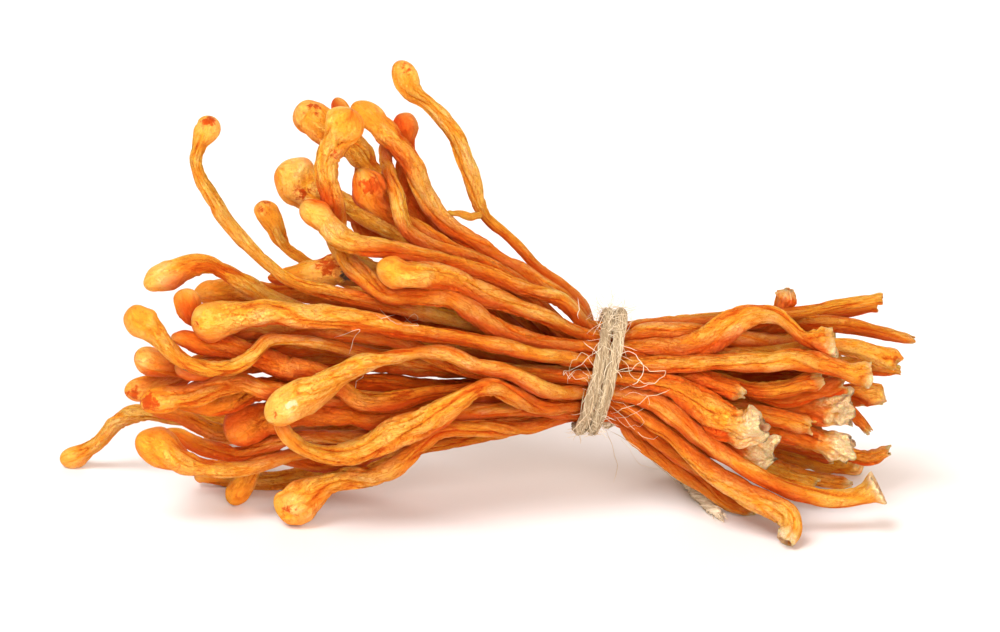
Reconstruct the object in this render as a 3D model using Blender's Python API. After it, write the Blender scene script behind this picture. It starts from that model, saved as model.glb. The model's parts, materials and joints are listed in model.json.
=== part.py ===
# A bunch of dried orange cordyceps, tied round its waist with jute twine and lying on its side.
# The club heads fan out towards -X and the torn butts towards +X. All sizes below are millimetres.

import math

import bpy
import bmesh
import numpy as np

MM = 0.001

# How the routes are drawn: as the bunch looks from the front, a little from above.
# A point is (across, up the view, depth behind the middle of the tie, radius).
VIEW_TILT = math.radians(18.0)
VIEW_DISTANCE = 450.0
VIEW_CENTRE_HEIGHT = 24.4

# The waist, where the twine holds every stem side by side.
WAIST_X = 12.3
WAIST_HEIGHT = 17.4
WAIST_LEAN = 0.2
WAIST_HALF_LENGTH = 2.3
WAIST_STEM_RADIUS = 0.82
RING_RADIUS = {"outer": 5.3, "middle": 3.5, "inner": 1.75, "centre": 0.0}

# The twine.
TWINE_RADIUS = 0.62
TWINE_LOOP_RADIUS = 6.98
TWINE_TURNS = 2.06
TWINE_PITCH = 1.62
TWINE_POINTS_A_TURN = 20
KNOT_ANGLE = math.radians(-118.0)
KNOT_SIZE = (1.9, 1.5, 1.15)
KNOT_STANDS_OUT = 0.62
KNOT_SEGMENTS = 12
KNOT_RINGS = 7
TAIL_RADIUS = 0.78
TAIL_SPACING = 1.6

# Room between neighbours, and how the stems are eased apart.
GAP = 0.13
EASE_STEPS = 900
SMOOTH_STEPS = 520
NEAR = 3.0
SHY = 0.3
LOOK_AGAIN_EVERY = 15
LEAST_SHARE = 0.7
INNER_HOLD = 0.5
END_HOLD = 0.6
SPRING_BACK = 0.995
ROUTE_STEPS = 20

STEM_SIDES_RESOLUTION = 1
TWINE_SIDES_RESOLUTION = 1
TAIL_SIDES_RESOLUTION = 2

ORANGE = (0.80, 0.30, 0.045, 1.0)
BROWN = (0.52, 0.17, 0.03, 1.0)
STRAW = (0.62, 0.50, 0.34, 1.0)
STEM_ROUGHNESS = 0.6
TWINE_ROUGHNESS = 0.85
SHADE_STEP = 0.1
SHADES = 4
DARK_STEM_SHADE = 0.48


# Each stem: its head side from the tip inwards, its place in the waist as a ring and an angle up from
# the front, and its butt side outwards to the broken end. Front stems keep their outline in the view.
STEMS = {
    "stem_tall_curled": {
        "head": [(-11.6, 30.5, 2.0, 0.9), (-11.2, 29.1, 2.0, 1.45), (-10.4, 27.0, 2.0, 1.0),
                 (-8.9, 25.5, 2.0, 0.8), (-7.2, 23.6, 2.0, 0.85), (-5.6, 21.4, 2.0, 0.85),
                 (-4.6, 18.6, 2.2, 0.85), (-3.6, 16.2, 2.4, 0.9), (-2.7, 13.7, 2.6, 0.8),
                 (-1.9, 12.2, 2.8, 0.75), (0.6, 10.1, 3.0, 0.75), (2.9, 7.9, 3.0, 0.7),
                 (4.6, 5.6, 3.0, 0.62), (7.2, 3.4, 3.2, 0.7), (9.5, 1.1, 3.3, 0.75)],
        "place": ("outer", 130),
        "butt": [(20.0, -1.7, 4.0, 0.7), (29.0, -0.9, 5.0, 0.6), (36.0, -0.3, 5.0, 0.55),
                 (41.0, 0.4, 5.0, 0.55), (45.3, 0.8, 5.0, 0.5)],
        "front": True,
    },
    "stem_thick_arch": {
        "head": [(-17.6, 25.1, 6.0, 1.0), (-16.4, 24.2, 6.0, 1.55), (-14.6, 22.7, 5.0, 1.45),
                 (-13.1, 21.3, 4.5, 1.4), (-11.7, 19.5, 4.0, 1.3), (-10.3, 17.3, 3.5, 1.15),
                 (-9.4, 15.0, 3.0, 1.0), (-7.8, 12.4, 2.2, 0.95), (-4.6, 9.3, 1.6, 0.95),
                 (0.0, 6.4, 1.0, 0.95), (6.0, 3.0, 1.0, 0.9), (9.4, 0.8, 1.6, 0.85)],
        "place": ("outer", 110),
        "butt": [(20.0, -1.5, 2.4, 0.6), (26.0, -0.9, 3.0, 0.5), (29.5, -0.5, 3.0, 0.4)],
        "front": True,
    },
    "stem_bent_back": {
        "head": [(-23.8, 13.2, -6.0, 0.8), (-22.6, 12.4, -6.0, 1.7), (-21.1, 11.2, -6.0, 1.35),
                 (-19.6, 9.5, -6.5, 1.3), (-17.8, 8.6, -7.0, 1.1), (-14.0, 8.1, -7.0, 1.0),
                 (-9.0, 7.2, -6.0, 0.9), (-4.0, 5.9, -4.6, 0.9), (1.0, 3.9, -3.0, 0.9),
                 (6.5, 1.5, -1.2, 0.85)],
        "place": ("outer", 90),
        "butt": [(18.5, -1.7, 0.0, 0.85), (26.0, -0.8, 0.0, 0.75), (32.0, -0.1, 0.0, 0.7),
                 (36.5, 0.4, 0.0, 0.66), (41.0, 1.3, 0.0, 0.64), (45.9, 1.9, 0.0, 0.64)],
        "front": True,
    },
    "stem_pale_curl": {
        "head": [(-14.6, 5.7, -10.5, 1.0), (-13.2, 5.5, -10.5, 1.95), (-11.3, 5.0, -10.5, 1.75),
                 (-9.3, 4.8, -9.8, 1.45), (-6.5, 4.4, -9.0, 1.3), (-3.0, 2.9, -7.6, 1.15),
                 (1.0, 1.5, -6.0, 0.95), (5.0, -0.2, -4.5, 0.85)],
        "place": ("outer", 70),
        "butt": [(18.0, -2.3, -2.0, 1.0), (22.0, -2.2, -0.5, 1.15), (28.0, -2.2, 2.0, 1.1),
                 (33.5, -2.9, 3.0, 1.25), (37.0, -2.6, 3.0, 1.2)],
        "front": True,
    },
    "stem_question_mark": {
        "head": [(-18.0, 24.6, -4.0, 1.0), (-18.7, 23.1, -4.0, 2.25), (-19.8, 21.1, -4.0, 1.5),
                 (-21.0, 19.0, -4.5, 1.2), (-21.1, 16.8, -5.0, 1.1), (-20.4, 14.4, -5.0, 1.15),
                 (-19.8, 11.6, -3.4, 1.15), (-19.6, 8.9, -3.0, 1.1), (-18.3, 6.6, -4.6, 1.05),
                 (-16.1, 4.5, -7.2, 1.05), (-13.6, 2.5, -9.0, 1.0), (-10.0, 2.1, -10.0, 1.0),
                 (-6.3, 1.9, -10.0, 1.0), (-3.4, 0.5, -9.2, 1.0), (-0.4, -1.6, -8.0, 1.0),
                 (3.4, -3.1, -6.5, 0.95), (8.0, -4.0, -4.5, 0.88)],
        "place": ("outer", 50),
        "butt": [(17.5, -4.3, -3.6, 1.1), (22.0, -4.0, -4.0, 1.25), (25.0, -2.9, -4.6, 1.35),
                 (27.4, -1.1, -5.0, 1.3), (29.5, -0.1, -5.0, 1.1), (31.6, 0.2, -5.0, 0.85),
                 (33.3, -0.1, -5.0, 0.7), (34.7, -1.2, -5.0, 0.62), (36.0, -2.5, -5.0, 0.75),
                 (37.7, -3.1, -5.0, 1.15), (40.2, -2.9, -5.0, 1.35)],
        "front": True,
    },
    "stem_big_front_club": {
        "head": [(-36.8, -0.6, -10.0, 1.2), (-35.4, -0.5, -10.0, 2.25), (-33.5, -0.2, -10.0, 2.2),
                 (-31.4, 0.3, -10.0, 1.75), (-28.5, 0.6, -10.0, 1.45), (-23.0, 0.3, -10.0, 1.2),
                 (-17.0, -0.4, -10.0, 1.1), (-12.5, -1.6, -10.5, 1.0), (-7.5, -1.9, -10.0, 1.0),
                 (-1.0, -3.1, -8.4, 1.0), (5.0, -4.3, -6.5, 0.95)],
        "place": ("outer", 30),
        "butt": [(18.0, -5.7, -5.0, 1.0), (25.0, -5.85, -6.0, 1.0), (31.0, -5.7, -6.0, 1.0),
                 (36.0, -5.6, -6.0, 1.1), (40.5, -6.6, -6.0, 1.0), (42.7, -7.2, -6.0, 1.1),
                 (44.3, -7.3, -6.0, 1.35)],
        "front": True,
    },
    "stem_round_club": {
        "head": [(-38.4, 2.6, -7.0, 1.1), (-37.9, 1.4, -7.0, 1.65), (-37.2, 0.1, -6.8, 1.4),
                 (-35.6, -1.0, -6.2, 1.1), (-33.0, -1.7, -6.0, 1.05), (-27.0, -1.6, -6.5, 1.05),
                 (-21.0, -2.2, -8.0, 0.95), (-15.5, -2.8, -9.2, 0.9), (-12.0, -3.3, -9.6, 0.85),
                 (-8.5, -5.0, -9.6, 0.8), (-4.5, -6.5, -8.8, 0.78), (1.0, -7.4, -7.2, 0.8)],
        "place": ("outer", 10),
        "butt": [(18.0, -7.3, -5.4, 0.95), (21.0, -8.2, -5.8, 1.15), (23.6, -9.8, -6.6, 1.65),
                 (26.4, -12.0, -8.0, 2.0), (29.2, -13.3, -8.6, 2.0), (31.8, -13.2, -8.6, 1.95)],
        "front": True,
    },
    "stem_spotted_club": {
        "head": [(-27.8, -12.2, -13.5, 1.0), (-26.7, -11.5, -13.5, 1.9), (-25.2, -10.4, -13.5, 2.1),
                 (-23.6, -9.5, -13.5, 1.95), (-21.8, -8.6, -13.5, 1.75), (-19.3, -7.0, -13.0, 1.4),
                 (-16.5, -5.5, -13.0, 1.2), (-13.0, -4.7, -12.3, 0.9), (-9.0, -4.3, -12.0, 0.8),
                 (-6.0, -4.7, -11.5, 0.95), (-3.5, -5.8, -11.0, 1.0), (0.5, -6.6, -10.0, 1.05),
                 (6.0, -8.3, -7.6, 1.05)],
        "place": ("outer", -10),
        "butt": [(18.0, -10.0, -6.0, 1.05), (20.5, -11.6, -7.0, 1.05), (24.0, -14.7, -8.0, 1.1),
                 (28.0, -17.6, -9.0, 1.1), (33.0, -20.5, -9.5, 1.1), (37.0, -21.8, -9.5, 1.1),
                 (41.0, -22.3, -9.0, 1.1), (43.6, -21.7, -9.0, 1.15), (45.4, -20.9, -9.0, 1.7)],
        "front": True,
    },
    "stem_front_loop": {
        "head": [(-26.6, -12.6, -11.0, 0.9), (-25.6, -14.4, -11.3, 1.0), (-24.0, -15.7, -11.5, 0.95),
                 (-21.6, -16.5, -11.5, 1.05), (-18.8, -16.7, -11.5, 1.3), (-15.8, -15.7, -11.7, 1.4),
                 (-12.4, -13.9, -12.0, 1.4), (-8.2, -12.2, -12.0, 1.5), (-5.2, -10.4, -12.0, 1.35),
                 (-3.2, -9.1, -12.0, 1.15), (-1.2, -8.5, -11.5, 1.1), (1.6, -9.4, -10.4, 1.05),
                 (6.0, -10.6, -7.8, 1.05)],
        "place": ("outer", -30),
        "butt": [(18.0, -12.6, -6.0, 1.05), (21.0, -14.6, -7.0, 1.05), (25.5, -18.2, -8.8, 1.1),
                 (30.0, -21.0, -10.5, 1.15), (33.0, -22.6, -11.6, 1.15), (34.9, -24.0, -12.5, 1.15),
                 (35.3, -25.6, -13.4, 1.1), (34.5, -27.2, -14.2, 1.0)],
        "front": True,
    },
    "stem_hanging_head": {
        "head": [(-32.4, -22.6, -0.6, 0.8), (-31.6, -21.5, -0.6, 1.65), (-30.5, -19.9, -1.0, 1.1),
                 (-29.4, -18.2, -1.5, 0.75), (-28.4, -16.9, -2.2, 0.75), (-25.8, -17.3, -3.0, 0.9),
                 (-21.5, -18.1, -4.2, 1.1), (-17.5, -17.9, -6.0, 1.1), (-13.5, -16.1, -7.8, 1.0),
                 (-9.0, -13.7, -8.5, 0.9), (-4.0, -12.1, -8.2, 0.85), (3.0, -11.6, -6.5, 0.85)],
        "place": ("outer", -50),
        "butt": [(18.0, -14.4, -4.5, 0.85), (22.0, -17.0, -5.0, 0.85), (26.0, -19.3, -5.0, 0.85),
                 (30.0, -21.4, -5.0, 0.8)],
        "front": True,
    },
    "stem_lowest_front": {
        "head": [(-26.1, -24.2, -6.5, 1.3), (-24.8, -23.2, -6.5, 2.15), (-22.8, -21.8, -6.8, 1.85),
                 (-20.7, -20.6, -7.2, 1.35), (-18.0, -19.8, -7.7, 1.25), (-15.0, -18.9, -8.2, 1.15),
                 (-12.2, -17.4, -8.8, 1.1), (-9.6, -15.2, -9.2, 0.95), (-7.2, -13.2, -9.2, 0.9),
                 (-3.0, -12.8, -8.0, 0.9), (4.0, -12.9, -5.4, 0.9)],
        "place": ("outer", -70),
        "butt": [(17.0, -15.2, -2.5, 0.9), (20.0, -17.4, -3.0, 0.95), (24.0, -20.0, -3.0, 1.0),
                 (27.5, -22.2, -3.2, 1.0), (30.5, -23.1, -3.4, 1.0)],
        "front": True,
    },
    "stem_left_arch": {
        "head": [(-42.4, 3.6, -2.0, 1.1), (-41.2, 4.2, -2.0, 1.6), (-39.5, 4.8, -2.0, 1.8),
                 (-37.4, 5.8, -2.0, 1.5), (-35.2, 6.1, -2.0, 1.15), (-33.0, 5.2, -2.0, 1.1),
                 (-30.5, 3.7, -2.0, 1.0), (-26.0, 1.3, -1.0, 0.95), (-16.0, -1.2, 1.5, 1.05),
                 (-2.0, -3.4, 3.0, 1.0)],
        "place": ("middle", -165),
        "butt": [(20.0, -7.2, 4.5, 0.82), (30.0, -8.2, 5.0, 0.82), (38.0, -8.6, 5.0, 0.82),
                 (41.5, -9.1, 5.0, 0.85), (44.0, -10.0, 5.0, 0.8)],
        "front": True,
    },
    "stem_s_bend": {
        "head": [(-44.1, 1.0, -12.0, 1.0), (-43.0, -0.3, -12.0, 2.05), (-41.5, -1.8, -12.0, 1.45),
                 (-40.1, -3.3, -12.0, 1.05), (-38.5, -4.9, -12.0, 1.05), (-36.2, -6.1, -12.0, 1.0),
                 (-33.5, -6.5, -12.0, 0.95), (-31.2, -6.0, -12.0, 0.95), (-29.4, -4.6, -11.5, 0.9),
                 (-27.8, -2.9, -10.6, 0.78), (-25.0, -2.7, -10.0, 0.7), (-18.0, -3.8, -8.0, 0.8),
                 (-7.0, -5.8, -6.2, 0.82)],
        "place": ("middle", 15),
        "butt": [(20.0, -6.9, -4.0, 0.85), (26.0, -7.5, -5.6, 0.9), (31.5, -8.9, -6.8, 1.0),
                 (34.5, -8.6, -7.0, 1.1), (36.6, -8.0, -7.0, 1.1), (38.7, -7.4, -7.0, 1.25)],
        "front": True,
    },
    "stem_short_upper_left": {
        "head": [(-43.6, -5.0, -6.0, 0.95), (-42.3, -5.4, -6.0, 1.75), (-40.3, -6.1, -6.0, 1.4),
                 (-38.0, -6.6, -6.0, 1.1), (-32.0, -6.3, -5.0, 1.0), (-22.0, -5.8, -3.6, 1.1),
                 (-6.0, -6.5, -2.2, 0.9)],
        "place": ("inner", 0),
        "butt": [(20.0, -8.0, -2.0, 0.82), (28.0, -10.0, -2.6, 0.9), (34.0, -11.0, -3.0, 1.3),
                 (37.0, -11.3, -3.0, 1.6), (40.0, -11.4, -3.0, 1.7), (42.6, -11.6, -3.0, 1.6)],
    },
    "stem_rough_patch": {
        "head": [(-38.9, -6.9, -9.0, 0.8), (-37.6, -7.1, -9.0, 1.3), (-35.4, -7.1, -8.6, 1.2),
                 (-32.0, -6.0, -7.0, 1.1), (-28.5, -4.4, -6.4, 1.2), (-24.0, -4.2, -6.0, 1.3),
                 (-17.0, -4.9, -5.0, 1.15), (-8.0, -5.9, -2.6, 0.9)],
        "place": ("centre", 0),
        "butt": [(20.0, -8.3, 0.5, 0.82), (30.0, -12.0, 2.5, 0.85), (38.5, -13.6, 3.0, 0.9)],
    },
    "stem_left_middle": {
        "head": [(-44.8, -9.2, -3.0, 0.85), (-43.5, -8.9, -3.0, 1.4), (-41.0, -8.3, -3.0, 1.3),
                 (-38.0, -7.2, -3.0, 1.1), (-33.0, -4.6, -2.4, 1.15), (-28.0, -3.0, -1.6, 1.15),
                 (-22.0, -2.7, -0.6, 1.05), (-14.0, -4.6, 0.6, 0.9),
                 (-2.0, -7.3, 1.4, 0.82)],
        "place": ("inner", 180),
        "butt": [(20.0, -7.6, 2.2, 0.82), (32.0, -8.6, 3.0, 0.82), (41.5, -8.8, 3.0, 0.85),
                 (44.4, -9.1, 3.0, 1.35), (46.1, -9.9, 3.0, 1.3)],
    },
    "stem_brown_crumpled": {
        "head": [(-39.2, -3.1, -6.5, 0.8), (-37.4, -3.5, -7.0, 1.3), (-34.8, -4.1, -7.6, 1.4),
                 (-31.8, -4.7, -8.2, 1.2), (-28.2, -6.1, -8.8, 1.3), (-25.2, -7.3, -9.2, 1.4),
                 (-22.2, -7.3, -9.6, 1.1), (-19.4, -8.6, -9.8, 0.95), (-16.6, -10.3, -9.8, 0.9),
                 (-13.8, -10.5, -9.4, 1.0), (-8.5, -9.6, -8.6, 0.95), (-1.0, -8.9, -6.4, 0.85)],
        "place": ("middle", -15),
        "butt": [(19.0, -7.3, -4.4, 0.85), (23.0, -7.2, -5.0, 0.95), (26.5, -8.5, -6.4, 1.1),
                 (29.4, -9.3, -7.0, 1.25)],
    },
    "stem_red_tip": {
        "head": [(-42.9, -10.4, -9.0, 0.95), (-41.6, -10.2, -9.0, 1.75), (-39.5, -10.0, -9.0, 1.35),
                 (-36.5, -9.5, -9.0, 1.2), (-33.3, -8.6, -9.2, 1.1), (-30.8, -8.0, -9.6, 1.1),
                 (-28.0, -8.5, -10.4, 1.15), (-25.2, -9.0, -10.2, 1.1), (-20.0, -9.6, -8.0, 0.9),
                 (-9.0, -9.4, -5.0, 0.82)],
        "place": ("inner", -60),
        "butt": [(20.0, -9.6, -2.6, 0.82), (28.0, -11.0, -4.4, 0.9), (34.0, -12.4, -5.0, 1.0),
                 (37.5, -13.1, -5.0, 1.0)],
        "front": True,
    },
    "stem_leftmost_foot": {
        "head": [(-52.5, -17.6, 13.4, 0.85), (-51.2, -17.0, 13.2, 1.3), (-49.6, -16.2, 12.8, 1.0),
                 (-48.1, -15.3, 12.2, 0.85), (-46.9, -14.0, 11.6, 0.95), (-45.6, -12.5, 11.0, 1.1),
                 (-43.6, -11.7, 10.2, 1.1), (-38.0, -12.3, 9.2, 1.0), (-26.0, -13.4, 7.0, 0.85),
                 (-8.0, -13.2, 4.6, 0.82)],
        "place": ("outer", 230),
        "butt": [(20.0, -12.6, 5.0, 0.85), (30.0, -15.4, 8.0, 0.9), (37.0, -17.4, 10.4, 1.0),
                 (39.6, -18.1, 11.2, 1.1), (41.6, -18.0, 11.4, 1.1), (42.9, -17.1, 11.4, 1.1)],
        "front": True,
    },
    "stem_low_club": {
        "head": [(-43.5, -14.5, -6.5, 1.3), (-42.4, -15.0, -6.5, 2.1), (-40.6, -15.7, -6.5, 2.25),
                 (-38.7, -16.5, -6.5, 1.95), (-36.6, -17.3, -6.5, 1.3), (-34.0, -17.9, -6.5, 1.0),
                 (-31.0, -17.9, -6.2, 0.85), (-27.5, -17.1, -5.4, 0.82), (-20.0, -15.6, -4.6, 0.85),
                 (-6.0, -13.2, -2.6, 0.82)],
        "place": ("outer", -90),
        "butt": [(20.0, -13.8, -0.8, 0.82), (28.0, -17.2, -1.6, 0.82), (34.0, -19.4, -2.0, 0.82),
                 (38.0, -20.3, -2.0, 0.82)],
        "front": True,
    },
    "stem_behind_low_club": {
        "head": [(-40.4, -13.9, -2.0, 0.8), (-38.2, -14.4, -2.4, 1.0), (-36.0, -15.4, -3.0, 0.9),
                 (-33.5, -16.0, -3.6, 1.0), (-31.0, -16.3, -4.2, 1.0), (-28.8, -15.8, -5.0, 1.0),
                 (-26.6, -14.6, -5.8, 0.85), (-18.0, -14.2, -6.0, 0.82), (-4.0, -12.0, -3.4, 0.82)],
        "place": ("middle", -75),
        "butt": [(20.0, -11.0, -1.6, 0.82), (28.0, -13.0, -2.6, 0.9), (33.5, -13.8, -3.0, 1.1),
                 (36.5, -14.3, -3.0, 1.4), (39.2, -15.1, -3.0, 1.45), (42.2, -15.9, -3.0, 1.3)],
    },
    "stem_dark_ball": {
        "head": [(-32.4, -14.4, -3.4, 1.2), (-30.9, -13.9, -3.8, 2.3), (-29.0, -13.4, -4.6, 2.1),
                 (-26.4, -12.6, -5.8, 1.6), (-23.2, -12.0, -7.2, 1.5), (-20.4, -12.2, -7.8, 1.4),
                 (-17.8, -12.1, -8.0, 1.15), (-15.2, -12.5, -8.0, 1.05), (-11.5, -11.4, -7.8, 0.95),
                 (-3.0, -9.9, -5.8, 0.82)],
        "place": ("middle", -45),
        "butt": [(17.0, -9.1, -3.8, 0.95), (19.5, -9.9, -4.6, 1.3), (22.0, -11.3, -5.4, 1.7),
                 (24.6, -13.3, -6.0, 1.8), (27.4, -14.9, -6.2, 1.7), (32.6, -16.3, -6.2, 1.65)],
    },
    "stem_dark_folded": {
        "head": [(-38.7, -10.9, -5.0, 0.9), (-36.8, -10.9, -5.0, 1.2), (-34.0, -11.3, -5.0, 1.35),
                 (-31.4, -10.5, -5.0, 1.3), (-29.0, -9.2, -5.0, 1.45), (-22.0, -8.7, -4.6, 1.4),
                 (-16.0, -7.7, -4.0, 1.45), (-8.0, -8.5, -3.0, 1.25)],
        "place": ("inner", -120),
        "butt": [(20.0, -8.9, 0.6, 0.82), (32.0, -10.0, 1.6, 0.82), (41.8, -10.6, 2.0, 0.75),
                 (44.2, -12.9, 2.0, 0.6)],
    },
    "stem_long_dark": {
        "head": [(-41.6, -11.5, 2.0, 0.8), (-39.8, -11.6, 2.0, 1.1), (-36.8, -12.4, 2.0, 1.1),
                 (-33.6, -13.6, 2.0, 1.05), (-24.0, -14.4, 1.0, 1.1), (-16.0, -13.0, 0.6, 1.0),
                 (-8.0, -11.7, 0.2, 0.85)],
        "place": ("middle", -105),
        "butt": [(20.0, -10.8, 1.6, 0.82), (32.0, -14.4, 3.6, 0.82), (41.0, -16.3, 4.0, 0.85),
                 (44.4, -16.9, 4.0, 0.9), (46.9, -16.2, 4.0, 0.8)],
    },
    "stem_back_foot": {
        "head": [(-35.3, -14.8, 20.8, 0.8), (-34.0, -14.5, 20.6, 1.25), (-31.0, -14.4, 19.4, 0.95),
                 (-24.0, -13.6, 15.6, 0.85), (-10.0, -11.6, 8.4, 0.82)],
        "place": ("middle", -135),
        "butt": [(20.0, -10.2, 4.2, 0.82), (30.0, -14.4, 6.0, 0.75), (40.0, -17.1, 6.4, 0.55)],
    },
    "stem_floor_left": {
        "head": [(-36.4, -19.6, 6.8, 0.75), (-35.0, -19.5, 6.8, 1.1), (-31.5, -19.9, 6.4, 0.95),
                 (-27.5, -19.9, 6.0, 1.1), (-23.5, -19.4, 6.0, 1.15), (-19.0, -18.4, 6.0, 1.05),
                 (-9.0, -15.7, 4.4, 0.82), (2.0, -13.4, 2.6, 0.82)],
        "place": ("outer", 250),
        "butt": [(20.0, -13.6, 2.2, 0.85), (31.0, -17.6, 3.0, 0.9), (38.5, -19.6, 3.4, 0.95),
                 (42.2, -20.2, 3.4, 1.0)],
    },
    "stem_tall_thin": {
        "head": [(-35.1, 23.8, -6.0, 0.8), (-35.4, 22.6, -6.0, 1.5), (-36.1, 20.9, -6.0, 0.85),
                 (-36.7, 18.8, -6.0, 0.68), (-36.1, 16.6, -6.0, 0.8), (-34.9, 14.6, -6.0, 0.85),
                 (-33.3, 11.8, -6.0, 0.76), (-31.4, 9.2, -6.0, 0.7), (-28.8, 6.6, -6.0, 0.64),
                 (-25.5, 4.1, -6.2, 0.64), (-21.5, 2.7, -6.8, 0.82), (-17.0, 1.9, -7.3, 0.9),
                 (-12.0, 1.0, -7.0, 0.85), (-3.0, -0.9, -5.2, 0.82)],
        "place": ("middle", 45),
        "butt": [(20.0, -3.6, -1.6, 0.82), (32.0, -3.4, -0.6, 0.85), (41.0, -3.1, 0.0, 0.9),
                 (43.8, -3.5, 0.0, 1.05), (46.0, -4.5, 0.0, 1.2), (47.8, -5.5, 0.0, 1.1)],
        "front": True,
    },
    "stem_back_loner": {
        "head": [(-28.6, 13.4, 18.0, 0.95), (-27.9, 12.2, 18.0, 1.6), (-27.1, 10.4, 17.6, 1.1),
                 (-26.0, 8.5, 17.0, 0.72), (-23.4, 6.4, 15.4, 0.65), (-14.0, 2.4, 11.0, 0.9),
                 (-2.0, -1.2, 5.6, 0.82)],
        "place": ("inner", 120),
        "butt": [(20.0, -6.4, 2.6, 0.82), (30.0, -7.4, 5.0, 0.85), (39.5, -7.4, 7.0, 0.9)],
        "front": True,
    },
    "stem_bruised_fold": {
        "head": [(-27.6, 4.5, 2.0, 0.65), (-25.4, 4.7, 2.0, 0.95), (-23.2, 5.2, 1.6, 1.4),
                 (-20.9, 5.4, 1.2, 1.8), (-18.2, 5.7, 1.0, 1.75), (-14.4, 4.8, 1.0, 1.55),
                 (-10.0, 3.2, 1.0, 1.25), (-5.0, 0.7, 0.4, 0.9)],
        "place": ("inner", 60),
        "butt": [(20.0, -6.0, -1.4, 0.82), (28.0, -8.6, -3.2, 0.85), (34.5, -10.0, -4.0, 0.9),
                 (38.0, -9.1, -4.0, 0.95), (41.2, -8.2, -4.0, 0.95)],
        "front": True,
    },
    "stem_back_dimpled": {
        "head": [(-26.3, 17.8, 14.0, 1.3), (-25.0, 16.8, 14.0, 2.45), (-23.3, 15.6, 13.6, 2.4),
                 (-21.3, 14.4, 12.8, 2.0), (-18.8, 13.4, 11.8, 1.65), (-16.0, 12.0, 10.8, 1.45),
                 (-12.5, 10.2, 9.6, 1.25), (-3.0, 5.2, 6.6, 0.88)],
        "place": ("middle", 165),
        "butt": [(20.0, -4.6, 4.6, 0.82), (34.0, -5.6, 6.0, 0.82), (43.0, -6.4, 6.0, 0.85),
                 (47.8, -6.7, 6.0, 0.82)],
        "front": True,
    },
    "stem_back_leaning": {
        "head": [(-24.3, 24.9, 16.0, 1.2), (-23.2, 24.1, 16.0, 2.0), (-21.3, 22.9, 15.0, 1.95),
                 (-19.1, 21.5, 13.8, 1.65), (-16.9, 19.4, 12.4, 1.35), (-14.6, 16.4, 11.0, 1.15),
                 (-10.0, 11.8, 8.8, 0.95), (0.0, 5.0, 6.4, 0.85)],
        "place": ("outer", 170),
        "butt": [(20.0, -3.8, 6.4, 0.85), (31.0, -4.4, 9.0, 0.9), (40.5, -4.8, 11.0, 1.0)],
        "front": True,
    },
    "stem_back_small": {
        "head": [(-19.9, 25.8, 18.6, 0.8), (-19.3, 24.8, 18.6, 1.15), (-18.3, 22.3, 18.2, 0.9),
                 (-16.8, 18.9, 16.8, 0.95), (-16.6, 15.0, 15.0, 1.1), (-16.6, 11.0, 13.6, 1.35),
                 (-13.2, 8.2, 12.6, 1.25), (-5.0, 4.6, 9.6, 0.95)],
        "place": ("outer", 190),
        "butt": [(20.0, -5.6, 6.8, 0.85), (30.0, -7.4, 10.0, 0.9), (38.5, -9.6, 12.6, 1.1)],
    },
    "stem_back_middle": {
        "head": [(-36.4, 2.7, 5.4, 0.9), (-35.0, 2.9, 5.4, 1.5), (-32.6, 3.0, 5.2, 1.4),
                 (-29.0, 2.6, 5.0, 1.3), (-24.0, 2.6, 5.0, 1.2), (-18.0, 1.9, 5.2, 1.25),
                 (-11.0, -0.2, 5.4, 1.2), (-4.0, -2.6, 5.8, 1.1)],
        "place": ("outer", 210),
        "butt": [(20.0, -9.8, 6.6, 0.82), (30.0, -11.8, 9.2, 0.85), (37.5, -13.2, 10.8, 1.0)],
    },
    "stem_folded_hollow": {
        "head": [(-16.8, 17.5, -2.0, 1.2), (-16.1, 16.0, -2.0, 2.1), (-15.3, 14.1, -2.0, 1.8),
                 (-13.7, 12.5, -1.6, 1.3), (-11.0, 11.0, -0.8, 1.1), (-6.5, 8.7, 0.0, 0.95),
                 (1.0, 5.2, 0.2, 0.88)],
        "place": ("middle", 105),
        "butt": [(20.0, -2.9, 1.6, 0.85), (31.0, -1.8, 2.0, 0.85), (37.0, -1.0, 2.0, 0.85),
                 (42.0, -1.3, 2.0, 0.85), (46.0, -2.2, 2.0, 0.8), (49.8, -3.0, 2.0, 0.65)],
        "front": True,
    },
    "stem_front_drop": {
        "head": [(-13.4, 21.2, 7.6, 0.65), (-13.5, 20.4, 7.0, 0.8), (-13.5, 18.7, 4.0, 0.85),
                 (-13.2, 17.0, -0.4, 0.9), (-12.7, 15.1, -3.6, 0.9), (-12.2, 13.0, -5.0, 0.9),
                 (-11.3, 10.6, -5.0, 0.9),
                 (-9.4, 8.9, -4.2, 0.88), (-3.0, 6.6, -2.6, 0.85), (4.0, 3.2, -1.4, 0.82)],
        "place": ("middle", 75),
        "butt": [(20.0, -2.6, 0.4, 0.82), (27.5, -1.7, 1.0, 0.9), (31.8, -1.2, 0.6, 0.95),
                 (33.6, -0.2, 0.2, 0.85), (34.2, 1.0, 0.2, 1.0), (34.7, 2.0, 0.2, 1.1),
                 (34.9, 2.8, 0.2, 0.85)],
        "front": True,
    },
    "stem_brown_head": {
        "head": [(-12.1, 23.9, 8.0, 0.8), (-11.6, 22.8, 8.0, 1.35), (-11.2, 21.0, 8.0, 0.9),
                 (-11.4, 17.6, 8.0, 1.05), (-10.6, 13.6, 7.4, 1.1), (-4.8, 8.0, 6.0, 0.95)],
        "place": ("outer", 150),
        "butt": [(20.0, -2.4, 5.4, 0.82), (31.0, -2.0, 7.4, 0.85), (40.0, -2.4, 9.0, 0.9)],
        "front": True,
    },
    "stem_short_behind_arch": {
        "head": [(-10.9, 19.3, 5.0, 0.75), (-10.4, 18.2, 5.0, 0.95), (-9.9, 15.8, 5.0, 0.85),
                 (-8.0, 12.0, 4.4, 0.9), (-1.0, 6.6, 3.6, 0.9)],
        "place": ("middle", 135),
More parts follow.
